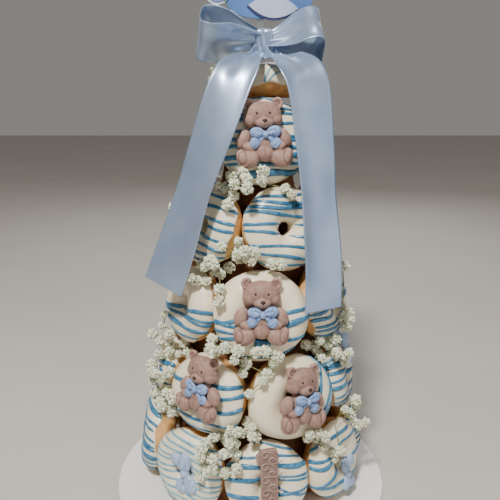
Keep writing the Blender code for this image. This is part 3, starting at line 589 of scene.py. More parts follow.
# Drizzle lines on a few doughnuts, each a width and points in millimetres in the doughnut's own frame
LINES = {
    "doughnut_3_1": (
        (3.4, (-52, -5), (-44, -4), (-37, -4), (-22, 0)), (3.0, (-40, -4.5), (-29, -6.5), (-16, -8)),
        (2.6, (-52, -20.5), (-42, -20), (-29, -19), (-14, -18)),
        (2.8, (10, 4), (22, 5.4), (40, 7.4), (52, 9)), (4.4, (10, -8.5), (24, -5.9), (39, -2.6), (52, 0)),
        (2.8, (12, -22), (24, -21.3), (35, -21), (52, -19.5)), (6.4, (-7, -23.6), (1, -24.6), (8, -24.2)),
        (3.0, (-38, -31), (-25, -35.6), (-4, -38), (17, -37.5), (34, -31)),
        (2.4, (-48, -12), (-38, -13), (-24, -14)),
    ),
    "doughnut_3_6": (
        (3.0, (-50, -9), (-20, -8), (-4, -6.2), (20, -1.5), (34, 0.8), (52, 1)),
        (2.4, (-4, -7), (14, -7.5), (40, -8), (50, -9)),
        (2.4, (-50, -13), (-12, -11.8), (23, -11.4), (48, -13)),
        (3.6, (-46, -19), (1, -20.3), (23, -22), (35, -21.2), (48, -20)),
        (2.4, (-40, -30), (0, -32), (38, -30)),
    ),
    "doughnut_3_2": (
        (3.2, (-52, -11), (-40, -9.8), (-22, -10.6), (0, -6), (46, 2)),
        (2.6, (-50, -18), (-38, -18.6), (0, -20), (44, -12)),
        (2.6, (-46, -25), (-36, -23.9), (0, -27), (42, -22)), (3.0, (-40, -31), (-15, -32), (20, -32)),
        (2.6, (-52, 0), (-20, 2), (20, 8), (52, 12)), (2.6, (-46, -4), (0, 0), (48, 4)),
    ),
    "doughnut_2_7": (
        (3.2, (-52, 12), (0, 14), (19, 15.8), (39, 17.8), (54, 19)),
        (3.0, (-20, 1), (24, 4.5), (42, 8.2), (54, 10)),
        (3.4, (-20, -13), (26, -9.7), (43, -5.2), (54, -3)),
        (2.4, (-34, -21), (-5, -23.6), (23, -26), (42, -25)), (2.2, (-30, -31), (0, -35), (26, -34)),
    ),
    "doughnut_2_1": (
        (3.0, (22, 50), (31, 34), (30, 24), (27, 9), (22, -12)),
        (3.0, (33, 44), (37, 32), (41, 12.6), (35, -7), (28, -22)),
        (2.6, (40, 40), (45, 20), (45, 2), (38, -14), (30, -28)), (2.4, (26, -36), (34, -28), (44, -22)),
    ),
    "doughnut_2_6": (
        (4.0, (-50, 12), (0, 14), (34, 15.7), (52, 18)), (3.4, (-50, 3), (0, 5), (38, 6), (52, 7)),
        (2.6, (-48, -8), (0, -6), (50, -5)), (2.6, (-44, -20), (0, -18), (46, -19)),
        (2.6, (-34, -32), (34, -30)),
    ),
    "doughnut_1_8": tuple(
        (1.8, (-52, y + 1), (-20, y), (4, y + 0.5), (30, y - 1.5), (52, y - 4))
        for y in (40, 33, 26.5, 20, 13, 7.5, 0, -6, -13, -20, -27, -34)
    ),
    "doughnut_1_1": (
        (1.8, (8, 32), (12, 31), (37, 25), (48, 21)), (3.6, (8, 23), (12, 22.4), (36, 18.2), (50, 16)),
        (1.8, (8, 11), (37, 8.2), (52, 6)), (1.8, (8, 6), (37, 4.2), (52, 2)),
        (2.2, (8, -2.5), (37, -12.7), (50, -17)), (2.4, (8, -11), (37, -6.3), (52, -3)),
        (2.0, (-14, 42), (-3, 41.6), (25, 34.6), (36, 29)),
        (3.4, (-50, 19), (-37, 21.7), (-14, 22.3), (-2, 21)),
        (3.6, (-54, 4), (-45, 8), (-29, 9.6), (-10, 5.5), (-2, 4)),
        (3.4, (-54, -12), (-46, -9), (-31, -8.5), (-9, -10.7)), (2.2, (-44, 28), (-30, 30), (-12, 31)),
        (3.0, (-50, -24), (-20, -22), (-6, -24)), (2.6, (8, -22), (30, -24), (44, -26)),
        (2.6, (-36, -34), (0, -37), (30, -33)),
    ),
    "doughnut_1_2": (
        (3.6, (-50, 14), (-40, 7), (-29, 6), (-16, 10), (0, 8)),
        (2.8, (-50, 18), (-38, 14), (-24, 14), (-12, 11)),
        (3.2, (-54, -11), (-41, -13), (-26, -10.5), (0, -6), (44, -2)),
        (3.0, (-48, -12), (-30, -18), (-8, -22), (36, -24)), (2.6, (-44, 26), (-20, 30), (20, 30)),
        (2.6, (-10, 18), (20, 20), (50, 20)), (2.4, (-36, -30), (0, -36), (30, -32)),
    ),
    "doughnut_4_1": (
        (2.4, (-40, 29), (-25, 31.6), (17, 32.5), (38, 30)),
        (2.4, (-44, 29), (-29, 27.8), (15, 23.6), (44, 22)),
        (2.6, (-48, 23.6), (-33, 23), (14, 19.3), (48, 17)),
        (2.8, (-50, 21), (-36, 20), (-12, 14.7), (14, 10.9), (50, 8)),
        (2.6, (-54, 8.6), (-38, 7.5), (15, 3), (52, 1)), (2.6, (-54, 3), (-38, 0.8), (14, -9), (50, -13)),
        (2.4, (-54, -11), (-38, -13), (12, -18.8), (46, -22)),
        (2.4, (-46, -18), (-32, -21), (-14, -25), (13, -31), (34, -34)),
        (2.2, (-34, -31), (-21, -33.4), (18, -38), (30, -38)),
    ),
    "doughnut_4_5": tuple(
        (2.5, (-48, y + 3), (-10, y + 2), (20, y), (36, y - 2.4), (54, y - 4))
        for y in (39, 31.5, 21.5, 9, 1.5, -10, -19, -28, -36)
    ),
    "doughnut_5_1": (
        (2.2, (-30, 36), (-10, 42), (11, 37.5), (30, 34)), (2.2, (-42, 28), (0, 31), (18, 30.2), (44, 29)),
        (2.0, (-46, 21), (0, 26), (18, 25.4), (46, 25)),
        (2.4, (-52, 18), (-23, 18.8), (17, 15.7), (50, 16)),
        (2.4, (-54, 9), (-26, 9.2), (0, 8), (25, 4.6), (52, 4)),
        (2.4, (-54, 0), (-31, 0.4), (0, 0), (30, 0.2), (52, -1)),
        (2.4, (-54, -6.5), (-33, -6.1), (0, -6), (30, -7), (50, -8)),
        (3.8, (-52, -15), (-36, -15.5), (0, -15), (32, -13.4), (52, -13)),
        (2.4, (-50, -21), (-27, -21.7), (0, -22), (44, -21)),
        (5.6, (-46, -30), (-29, -31.8), (7, -30.6), (30, -30.2), (46, -27)),
    ),
    "doughnut_cap": (
        (1.5, (0, -54), (2, -46), (6, -39), (14, -33), (26, -24), (34, -8), (32, 16), (16, 34)),
        (1.4, (3, -54), (6, -47), (11, -42), (19, -37), (31, -28), (40, -10), (38, 16), (26, 36)),
        (1.6, (-50, -12), (-34, -10), (-22, 4), (-24, 26), (-34, 44)),
    ),
}


def drizzle(ring, parts, width, points, group):
    """One raised line laid over the glaze, broken where it crosses the hole"""
    spots = smooth_path([(*p, 0) for p in points], max(14, 8 * len(points)))
    wave = ring.phases[8] + points[0][1]
    runs, run, rim = [], [], None
    for x, y, _ in spots:
        spot = ring.at(x, y + 0.6 * math.sin(x * 0.11 + wave))
        edge = spot and ring.glaze_edge(spot[0]) + 0.06
        if spot and spot[1] > edge:
            run += [rim, spot] if rim and not run else [spot]
            continue
        rim = spot and (spot[0], edge)
        if run:
            runs.append(run + ([rim] if rim else []))
            run = []
    runs.append(run)
    for run in runs:
        if len(run) < 5:
            continue
        around, turn = (np.array(v) for v in zip(*run))
        path = ring.surface(around, turn, 0.2 * MM)
        normals = ring.surface(around, turn, 2 * MM) - path
        steps = np.arange(len(run))
        swell = 1 + 0.14 * np.sin(steps * 0.3 + wave)
        ends = np.minimum(steps, steps[::-1])
        radii = DRIZZLE_SPREAD * width * MM / 2 * swell * np.sqrt(np.clip(ends / 1.6, 0.15, 1))
        parts.add(*tube(path, radii, 6, 0.42, normals), group)


def default_lines(ring):
    """Lines across a doughnut, from the top down, at an uneven pitch"""
    rand = random.Random("lines" + ring.name)
    slope = rand.uniform(-0.09, 0.09)
    lines, y = [], 39.0
    while y > -38:
        bow, width = rand.uniform(-1.5, 1.5), rand.choice((2.0, 2.4, 2.6, 3.0, 3.6))
        spots = [(x, y + x * slope + bow * (1 - (x / 50) ** 2)) for x in (-54, -26, 0, 26, 54)]
        lines.append((width, *spots))
        y -= rand.choice((4.0, 6.5, 7.5, 8.5, 10.0))
        slope += rand.uniform(-0.03, 0.03)
    return lines


def dress_doughnut(name):
    ring = Ring(name)
    parts = Parts()
    points, faces, groups = doughnut_mesh(ring)
    parts.add(points, faces)
    parts.groups = groups
    pale = name in ("doughnut_1_8", "doughnut_cap", "doughnut_2_5")
    for width, *line in LINES.get(name) or default_lines(ring):
        drizzle(ring, parts, width, line, 3 if pale else 2)
    mesh = outwards(parts.mesh("glazed_" + name))
    obj = piece("glazed_" + name, mesh, (GLAZE, DOUGH, DRIZZLE, SOFT_DRIZZLE), (name,))
    return ring, obj


rings, solids = {}, []
for node_name in sorted(nodes):
    if node_name.startswith("doughnut_"):
        rings[node_name], made = dress_doughnut(node_name)
        solids.append(made)


# --- Board and core --------------------------------------------------------------------------------------


def board_mesh():
    """A thin disc with a rounded edge"""
    sides, round_steps, edge = 160, 6, 1.4 * MM
    turns = [math.pi / 2 * k / round_steps for k in range(round_steps + 1)]
    rim, top = BOARD_RADIUS - edge, BOARD_THICKNESS - edge
    profile = [(rim + edge * math.sin(turn), edge - edge * math.cos(turn)) for turn in turns]
    profile += [(rim + edge * math.cos(turn), top + edge * math.sin(turn)) for turn in turns]
    profile += [(BOARD_RADIUS * share, BOARD_THICKNESS) for share in (0.75, 0.5, 0.25)]
    around = [2 * math.pi * k / sides for k in range(sides)]
    points = [(0, 0, 0)]
    for reach, height in profile:
        points += [(reach * math.cos(turn), reach * math.sin(turn), height) for turn in around]
    points.append((0, 0, BOARD_THICKNESS))
    return outwards(mesh_of("cake_board", points, capped_faces(len(profile), sides)))


piece("cake_board", board_mesh(), (BOARD,), ("board",))
repaint("core_cone", CORE)


# --- Fondant ---------------------------------------------------------------------------------------------


def remeshed(parts, voxel, relax=2):
    """One skin round overlapping lumps"""
    return applied(parts.mesh("lumps"), ("REMESH", {"mode": "VOXEL", "voxel_size": voxel}),
                   ("SMOOTH", {"factor": 0.5, "iterations": relax}))


def displaced(mesh, change):
    """Moves each point along its normal by what change says for that point"""
    normals = [v.normal.copy() for v in mesh.vertices]
    for vert, normal in zip(mesh.vertices, normals):
        vert.co += normal * change(vert.co, normal)
    mesh.update()
    return mesh


def stuck_on(ring, right, up, turn, lift=0.0, facing=0.0):
    """A frame on the crest of a doughnut's glazed face, which may face a little to one side"""
    place = Matrix.Translation((right * MM, up * MM, ring.crest(lift)))
    place = place @ Matrix.Rotation(math.radians(facing), 4, "Y")
    return ring.place() @ place @ Matrix.Rotation(math.radians(turn), 4, "Z")


# Lumps of a bow: middle x, y, z and radius x, y, z in twentieths of its length, and a turn in degrees
BOW_LUMPS = (
    (-4.9, 1.2, 0.8, 4.5, 3.3, 2.3, -14), (5.2, 1.6, 0.8, 4.6, 3.5, 2.4, 16),
    (-2.4, 0.4, 0.8, 2.7, 1.8, 1.8, -8), (2.4, 0.4, 0.8, 2.7, 1.8, 1.8, 8),
    (-6.3, -4.4, 0.4, 3.2, 3.7, 2.0, -20), (6.0, -5.0, 0.4, 3.5, 3.4, 2.0, 30),
    (-3.0, -2.2, 0.4, 3.2, 1.7, 1.6, 42), (3.0, -2.4, 0.4, 3.2, 1.7, 1.6, -42),
    (0, -0.1, 1.3, 2.0, 2.3, 2.3, 0),
)


def bow_form(length, voxel, fold):
    """A fondant bow with puffed lobes and a pinched knot, lying in the XY plane"""
    unit = length / 20
    parts = Parts()
    for x, y, z, *radii, turn in BOW_LUMPS:
        parts.add(*lump(Vector((x, y, z)) * unit, [r * unit for r in radii], turn))
    mesh = remeshed(parts, voxel, 1)

    def folds(co, normal):
        x, y = co.x / unit, co.y / unit
        away = math.hypot(x, y)
        around = math.atan2(y - 0.2, abs(x) + 0.4)
        ridge = math.cos(7 * around + 2.0 * noise.noise(co / unit * 0.3)) * fold
        fade = min(1.0, max(0.0, (away - 1.7) / 1.2)) * min(1.0, max(0.0, (8.2 - away) / 4))
        crease = max(0.0, 0.2 - abs(noise.noise(co / unit * 0.34 + Vector((3, 1, 0))))) * -4.5 * fold
        relief = ridge * fade + crease * min(1.0, away / 4) + 0.1 * noise.noise(co / unit)
        return relief * unit * max(0.0, normal.z)

    return displaced(mesh, folds)


# Lumps of a sitting bear: middle x, y, z and radius x, y, z in its own units, and a turn in degrees
BEAR_LUMPS = (
    (0, -8.0, 2.0, 12.6, 16.0, 9.0, 0), (0, -16.5, 5.0, 8.8, 8.8, 7.2, 0),
    (0, 16.8, 2.6, 17.2, 12.2, 9.6, 0), (-10.0, 12.6, 3.2, 7.8, 7.2, 7.2, 0),
    (10.0, 12.6, 3.2, 7.8, 7.2, 7.2, 0), (0, 23.0, 2.0, 12.5, 5.6, 7.6, 0),
    (0.4, 9.2, 8.6, 8.4, 5.2, 6.2, 0), (0.4, 11.4, 10.6, 4.4, 2.8, 3.6, 0),
    (-18.4, -4.6, 3.6, 6.4, 9.2, 6.2, -26), (18.4, -4.6, 3.6, 6.4, 9.2, 6.2, 26),
    (-14.0, -11.8, 6.4, 6.6, 4.4, 4.6, -24), (14.0, -11.8, 6.4, 6.6, 4.4, 4.6, 24),
    (-14.6, -22.6, 5.6, 10.6, 8.4, 7.4, 24), (14.6, -22.6, 5.6, 10.6, 8.4, 7.4, -24),
    (-20.0, -21.4, 7.0, 5.4, 8.2, 6.0, 24), (20.0, -21.4, 7.0, 5.4, 8.2, 6.0, -24),
)


def ear(sign, parts):
    """An ear with a hollow in front, as a ring of small lumps over a flat one"""
    middle = Vector((sign * 13.6, 26.4, 2.4))
    parts.add(*lump(middle * BEAR_UNIT, [r * BEAR_UNIT for r in (5.0, 5.0, 2.6)]))
    for k in range(9):
        turn = math.pi * (0.5 - sign * 0.5) + sign * math.radians(-70 + 200 * k / 8)
        spot = middle + Vector((math.cos(turn) * 4.0, math.sin(turn) * 4.0, 1.8))
        parts.add(*lump(spot * BEAR_UNIT, [1.7 * BEAR_UNIT] * 3, 0, 2))


def bear_form():
    parts = Parts()
    for x, y, z, *radii, turn in BEAR_LUMPS:
        parts.add(*lump(Vector((x, y, z)) * BEAR_UNIT, [r * BEAR_UNIT for r in radii], turn))
    for sign in (-1, 1):
        ear(sign, parts)
    mesh = remeshed(parts, 0.88 * MM, 1)
    pads = [(Vector((sign * 20.4, -21.8)), Vector((3.8, 6.0))) for sign in (-1, 1)]

    def fur(co, normal):
        x, y, z = co / BEAR_UNIT
        cells = noise.voronoi(co / (1.7 * MM))[0][0]
        face = max(0.0, 1 - ((x - 0.4) ** 2 / 90 + (y - 9.6) ** 2 / 34)) if z > 9 else 0.0
        change = -0.5 * max(0.0, 0.45 - cells) * (1.6 if y > 5 else 0.7) * (1 - 0.8 * min(1.0, face * 2))
        change += 0.3 * noise.noise(co / (5 * MM)) + 0.16 * noise.noise(co / (1.6 * MM))
        if z > 8:
            for middle, radii in pads:
                rim = math.hypot((x - middle.x) / radii.x, (y - middle.y) / radii.y)
                change -= 0.7 * math.exp(-((rim - 1.0) / 0.17) ** 2)
        if z > 6 and -22 < y < -12:
            change -= 0.3 * math.exp(-(x / 0.9) ** 2)
        if z > 12 and 4 < y < 9.4:
            change -= 0.5 * math.exp(-((x - 0.8) / 0.5) ** 2)
        for sign in (-1, 1):
            socket = math.hypot(x - sign * 5.8, y - 17.2)
            change -= 0.5 * math.exp(-(socket / 1.3) ** 2) * (z > 6)
        return change * MM

    return displaced(mesh, fur)


def height_at(mesh, x, y):
    """How far forward the mesh reaches at a place"""
    tree = BVHTree.FromPolygons([v.co for v in mesh.vertices], [list(p.vertices) for p in mesh.polygons])
    hit = tree.ray_cast(Vector((x, y, 0.1)), Vector((0, 0, -1)))[0]
    return hit.z if hit else 0.0


def face_parts(bear):
    """The eyes and the nose, set into the bear's face"""
    parts = Parts()
    eye, nose, tip = (1.15, 1.25, 0.8), (2.5, 1.6, 1.3), (1.2, 1.1, 0.9)
    for x, y, lower, sunk, radii in ((-5.8, 17.2, 0, 0, eye), (5.8, 17.2, 0, 0, eye),
                                     (0.8, 10.4, 0, 0.2, nose), (0.8, 10.4, 1.3, 0.5, tip)):
        x, y = x * BEAR_UNIT, y * BEAR_UNIT
        spot = Vector((x, y - lower * MM, height_at(bear, x, y) - sunk * MM))
        parts.add(*lump(spot, [r * MM for r in radii]))
    return parts.mesh("bear_face")


BEAR_SPOTS = (
    ("bear_top", "doughnut_5_1", -1, 6, 2, 0),
    ("bear_middle", "doughnut_3_1", -1, 8, -1, 0),
    ("bear_left", "doughnut_2_7", 4, 15, -4, -10),
    ("bear_right", "doughnut_2_1", 2, 6, -5, 12),
)
bear_mesh = bear_form()
bear_face = face_parts(bear_mesh)
tie_mesh = bow_form(TIE_LENGTH, 0.6 * MM, 0.4)
for name, on, right, up, turn, facing in BEAR_SPOTS:
    lift = 0.2 * BEAR_HEIGHT * math.sin(math.radians(abs(facing)))
    place = stuck_on(rings[on], right, up, turn, lift, facing)
    for suffix, form, shift, materials, slot_name in (
        ("", bear_mesh, Matrix.Identity(4), (BEAR,), "brown_fondant"),
        ("_tie", tie_mesh, Matrix.Translation(TIE_SPOT), (TIE,), "blue_fondant"),
        ("_face", bear_face, Matrix.Identity(4), (NOSE,), "brown_fondant"),
    ):
        copy = form.copy()
        copy.transform(place @ shift)
        node = name + suffix
        made = piece("fondant_" + node, copy, materials, (node,) if node in nodes else ())
        solids.append(made)

BOW_SPOTS = (
    ("bow_left", "doughnut_1_8", 9, 3, -68, 44),
    ("bow_right", "doughnut_2_2", -8, 27, 74, 38),
    ("bow_base", "doughnut_1_2", 2, -17, 84, 38),
)
for name, on, right, up, turn, length in BOW_SPOTS:
    ring = rings[on]
    reach = math.hypot(right, up) * MM - TUBE_CENTRE
    if reach <= 0:
        place = stuck_on(ring, right, up, turn, -1 * MM)
    else:
        drop = TUBE_HALF_DEPTH * (1 - math.sqrt(max(0.0, 1 - (reach / TUBE_HALF_WIDTH) ** 2)))
        tilt = Matrix.Rotation(0.6 * reach / TUBE_HALF_WIDTH, 4, Vector((-up, right, 0)))
        spot = Matrix.Translation((right * MM, up * MM, ring.crest(-drop)))
        place = ring.place() @ spot @ tilt @ Matrix.Rotation(math.radians(turn), 4, "Z")
    mesh = bow_form(length * MM, 0.6 * MM, 0.22)
    mesh.transform(place)
    solids.append(piece("fondant_" + name, mesh, (PALE_BOW,), (name,)))


def figure_form(ring):
    """The figure 1 with carved swirls, as a thick plaque with soft edges"""
    height, width, flag, thick = 63 * MM, 17 * MM, 4.5 * MM, 5 * MM
    half, left, right = height / 2, -width / 2, width / 2
    outline = [(left, -half), (right, -half), (right, half - 2 * MM), (right - 2 * MM, half),
               (left + 1 * MM, half - 1 * MM), (left - flag, half - 7 * MM),
               (left - flag + 1 * MM, half - 16 * MM), (left, half - 17 * MM)]
    parts = Parts()
    rows = [[(x, y, z) for x, y in outline] for z in (-1 * MM, thick - 0.6 * MM)]
    parts.add([p for row in rows for p in row], lidded_faces(2, len(outline)))
    slab = applied(outwards(parts.mesh("slab")), ("REMESH", {"mode": "VOXEL", "voxel_size": 0.7 * MM}),
                   ("SMOOTH", {"factor": 0.5, "iterations": 5}))
    curls = Parts()
    rand = random.Random(3)
    spots = [(-3.2, 25.5, 1), (3.6, 20.5, -1), (-3.4, 13.5, 1), (3.4, 7.0, -1), (-3.4, 0.0, 1),
             (3.4, -7.0, -1), (-3.2, -13.5, 1), (3.2, -20.0, -1), (-2.6, -26.5, 1)]
    for x, y, way in spots:
        start, path = rand.uniform(-0.5, 0.5), []
        for k in range(30):
            share = k / 29
            turn = start + way * (math.pi * 2.5) * share
            reach = (5.4 * (1 - share) + 0.8) * (1.0 if share > 0.12 else 1 + (0.12 - share) * 5)
            path.append(((x + reach * math.cos(turn)) * MM, (y + reach * math.sin(turn) * 0.74) * MM,
                         thick - 0.35 * MM))
        swell = 1.15 * MM * np.sin(np.linspace(0.4, math.pi - 0.6, 30))
        curls.add(*tube(path, swell, 8))
    for k in range(len(spots) - 1):
        (x, y, way), (x2, y2, _) = spots[k], spots[k + 1]
        path = smooth_path([(x + way * 4.6, y - 2, 0), ((x + x2) / 2 + way * 2, (y + y2) / 2, 0),
                            (x2 - 3 * way, y2 + 2.4, 0)], 10)
        path = [(p[0] * MM, p[1] * MM, thick - 0.5 * MM) for p in path]
        curls.add(*tube(path, 0.85 * MM, 8))
    meshes = [slab, outwards(curls.mesh("curls"))]
    place = ring.place() @ Matrix.Translation((0.5 * MM, 10 * MM, ring.crest()))
    for mesh in meshes:
        mesh.transform(place)
    return meshes


slab_mesh, curl_mesh = figure_form(rings["doughnut_1_1"])
solids.append(piece("figure_one", slab_mesh, (FIGURE,), ("number_one",)))
solids.append(piece("figure_swirls", curl_mesh, (FIGURE,)))


# --- Satin ribbon ----------------------------------------------------------------------------------------

LOOP_OUTLINE = ((0.04, 0.03), (0.36, 0.16), (0.76, 0.42), (0.96, 0.36), (1.0, 0.0),
                (0.96, -0.36), (0.76, -0.42), (0.36, -0.16), (0.04, -0.03))
LOOPS = {
    "left": {"side": -1, "rise": 8, "tilt": 32, "spread": 46 * MM, "length": 64 * MM},
    "right": {"side": 1, "rise": 5, "tilt": -40, "spread": 46 * MM, "length": 56 * MM},
}
TAILS = {
    "left": ((11, 1, 473), (5, -8, 465), (-5, -26, 461), (-17, -42, 441), (-36, -52, 389), (-57, -52, 330),
             (-72, -52, 284), (-86, -53, 245)),
    "right": ((16, 1, 473), (22, -8, 465), (36, -26, 461), (51, -42, 441), (59, -48, 388), (65, -52, 330),
              (70, -59, 274), (70, -68, 226)),
}
TAIL_SLANTS = {"left": 0.15, "right": -0.12}
TAIL_OPENING = 56 * MM
TAIL_FACING = {  # how far it turns round the tower, at even steps from its top to its end
    "left": (0.35, 0.5, 0.75, 0.85, 0.5, 0.15),
    "right": (0.35, 0.4, 0.6, 0.75, 0.7, 0.6),
}
LOOP_STATIONS = 110
TAIL_STATIONS = 190
ACROSS = 24
PICOT = 0.35 * MM  # how far the woven loops of the edge stand out


def ribbon(path, widths, cross, fold, end_slant=0.0):
    """A strip of cloth along a path, with a function that gives its folds; closed by its thickness"""
    count = len(path)
    ahead = np.gradient(path, axis=0)
    ahead /= np.linalg.norm(ahead, axis=1)[:, None]
    cross = cross - ahead * (cross * ahead).sum(1)[:, None]
    cross /= np.linalg.norm(cross, axis=1)[:, None]
    normals = np.cross(ahead, cross)
    rows = []
    for k in range(count):
        row = []
        slanted = end_slant * (k / (count - 1)) ** 6
        for j in range(ACROSS + 1):
            share = j / ACROSS - 0.5
            spot = path[k] + cross[k] * share * widths[k] + normals[k] * fold(k / (count - 1), share)
            if j in (0, ACROSS) and k % 2:
                spot = spot + cross[k] * PICOT * (1 if j else -1)
            row.append(spot + ahead[k] * slanted * share * widths[k])
        rows.append(row)
    mesh = mesh_of("ribbon", [p for row in rows for p in row], grid_faces(count, ACROSS + 1))
    settings = {"thickness": RIBBON_THICKNESS, "offset": 0.0, "use_even_offset": True}
    return applied(mesh, ("SOLIDIFY", settings))


def loop_form(side, rise, tilt, spread, length):
    rise, tilt = math.radians(rise), math.radians(tilt)
    out = np.array((side * math.cos(rise), 0, math.sin(rise)))
    apart = np.array((0, math.cos(tilt), math.sin(tilt)))
    apart = apart - out * apart.dot(out)
    apart /= np.linalg.norm(apart)
    wide = np.cross(out, apart)
    knot = np.array(KNOT)
    path = smooth_path([knot + out * x * length + apart * v * spread for x, v in LOOP_OUTLINE], LOOP_STATIONS)
    shares = np.clip((path - knot) @ out / (0.55 * length), 0.0, 1.0)
    widths = GATHERED_WIDTH + (RIBBON_WIDTH - GATHERED_WIDTH) * shares ** 0.8

    def fold(along, share):
        near = 1 - shares[int(round(along * (len(path) - 1)))]
        pleats = 1.5 * MM * math.sin(share * 17 + 0.8 * side) * near ** 0.7
        crumple = 2.6 * MM * noise.noise(Vector((along * 6, share * 2.4, side * 2 + 5)))
        return pleats + crumple * (1 - near)

    whole = np.linalg.norm(np.diff(path, axis=0), axis=1).sum()
    return ribbon(path, widths, np.tile(wide, (len(path), 1)), fold), whole


def tail_form(points, end_slant, facing, seed):
    path = smooth_path(np.array(points, float) * MM, TAIL_STATIONS)
    steps = np.linalg.norm(np.diff(path, axis=0, prepend=path[:1]), axis=1)
    run = np.cumsum(steps)
    shares = np.clip(run / TAIL_OPENING, 0.0, 1.0)
    shares = shares * shares * (3 - 2 * shares)
    widths = GATHERED_WIDTH + (RIBBON_WIDTH - GATHERED_WIDTH) * shares
    cross = []
    for point, share in zip(path, run / run[-1]):
        outward = point - np.array(axis_point(point[2]))
        angle = np.interp(share, np.linspace(0, 1, len(facing)), facing) * math.atan2(outward[0], -outward[1])
        cross.append((math.cos(angle), math.sin(angle), 0))

    def fold(along, share):
        near = math.exp(-(run[int(round(along * (len(path) - 1)))] / (46 * MM)) ** 2)
        pleats = 3.2 * MM * math.sin(share * 9 + seed) * near
        curl = 2.2 * MM * (share * share * 4 - 0.33) * (0.3 + 0.7 * math.sin(along * math.pi))
        wave = 2.2 * MM * noise.noise(Vector((along * 5, share * 1.6, seed)))
        return pleats + curl + wave

    return ribbon(path, widths, np.array(cross), fold, end_slant), run[-1]


def knot_form():
    """The wrapped knot, with folds that run up and down it"""
    rows, columns = 26, 84
    points = []
    for i in range(rows):
        turn = math.pi * (i + 0.5) / rows - math.pi / 2
        for j in range(columns):
            around = 2 * math.pi * j / columns
            crease = 0.09 * math.sin(10 * around + 0.9 * math.sin(turn * 2))
            crease += 0.04 * math.sin(17 * around + 1)
            reach = math.cos(turn) ** 0.45 * (1 + crease) * (1 - 0.1 * math.cos(turn * 2))
            points.append((KNOT.x + KNOT_RADII.x * reach * math.cos(around),
                           KNOT.y + KNOT_RADII.y * reach * math.sin(around),
                           KNOT.z + KNOT_RADII.z * math.sin(turn)))
    return outwards(mesh_of("knot", points, lidded_faces(rows, columns)))


piece("ribbon_knot", knot_form(), (SATIN,), ("satin_bow",))
for name, settings in LOOPS.items():
    mesh, length = loop_form(**settings)
    obj = piece("ribbon_loop_" + name, mesh, (SATIN,), ("satin_bow",))
for name, points in TAILS.items():
    mesh, length = tail_form(points, TAIL_SLANTS[name], TAIL_FACING[name], 1.0 if name == "left" else 2.4)
    obj = piece("ribbon_tail_" + name, mesh, (SATIN,), ("satin_tail_" + name,))


# --- Topper ----------------------------------------------------------------------------------------------


def card_form(outline, front, thickness, edge=0.3 * MM):
    """A card standing in the XZ plane, its front at the given y, with softened edges"""
    middle = np.mean(outline, axis=0)
    rows = []
    for depth, inset in ((0, 1), (edge, 0), (thickness - edge, 0), (thickness, 1)):
        for x, z in outline:
            away = np.array((x, z)) - middle
            spot = np.array((x, z)) - away / np.linalg.norm(away) * edge * inset
            rows.append((spot[0], front + depth, spot[1]))
    return outwards(mesh_of("card", rows, lidded_faces(4, len(outline))))


def rounded_plaque(centre_x, centre_z, half_width, half_height, power, count=96):
    outline = []
    for k in range(count):
        c, s = math.cos(2 * math.pi * k / count), math.sin(2 * math.pi * k / count)
        outline.append((centre_x + math.copysign(abs(c) ** (2 / power), c) * half_width,
                        centre_z + math.copysign(abs(s) ** (2 / power), s) * half_height))
    return outline


def petal(centre_x, centre_z, length, width, turn, count=64):
    outline = []
    for k in range(count):
        u = k / count * 2
        along = 1 - 2 * (u if u <= 1 else 2 - u)
        x, z = along * length / 2, (1 - along * along) * width / 2 * (1 if u <= 1 else -1)
        outline.append((centre_x + x * math.cos(turn) - z * math.sin(turn),
                        centre_z + x * math.sin(turn) + z * math.cos(turn)))
    return outline


def topper():
    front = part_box("topper_plaque")[0].y
    plaque = rounded_plaque(18 * MM, 538 * MM, 46 * MM, 36 * MM, 3.0)
    card = card_form(plaque, front, CARD_THICKNESS)
    piece("topper_card", card, (BLUE_CARD,), ("topper_plaque",), False)
    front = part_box("topper_petal")[0].y
    # The dark card under the pale leaf, a little larger and reaching out furthest at its lower left, is a
    # painted shadow of the leaf
    leaf_shadow_outline = petal(22 * MM, 512 * MM, 52 * MM, 23 * MM, math.radians(-4))
    card = card_form(leaf_shadow_outline, front + 0.8 * MM, 0.8 * MM)
    piece("topper_leaf_edge", card, (LEAF_SHADOW_CARD,), ("topper_petal",), False)
    upper = petal(22.5 * MM, 513 * MM, 50 * MM, 21 * MM, math.radians(-4))
    piece("topper_leaf", card_form(upper, front, 0.7 * MM), (PALE_CARD,), (), False)
    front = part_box("topper_button")[0].y
    rim = rounded_plaque(-33 * MM, 529 * MM, 14 * MM, 14 * MM, 2)
    card = card_form(rim, front + 0.8 * MM, 0.8 * MM)
    piece("topper_disc_edge", card, (EDGE_CARD,), ("topper_button",), False)
    disc = rounded_plaque(-33 * MM, 529 * MM, 11.5 * MM, 11.5 * MM, 2)
    piece("topper_disc", card_form(disc, front, 0.7 * MM), (VIOLET_CARD,), (), False)
    spot = rounded_plaque(-27 * MM, 522 * MM, 3.4 * MM, 2.6 * MM, 2.4)
    card = card_form(spot, front - 0.5 * MM, 0.5 * MM, 0.15 * MM)
    piece("topper_spot", card, (YELLOW_CARD,), (), False)


topper()
repaint("topper_stick", STICK)


# --- Gypsophila ------------------------------------------------------------------------------------------

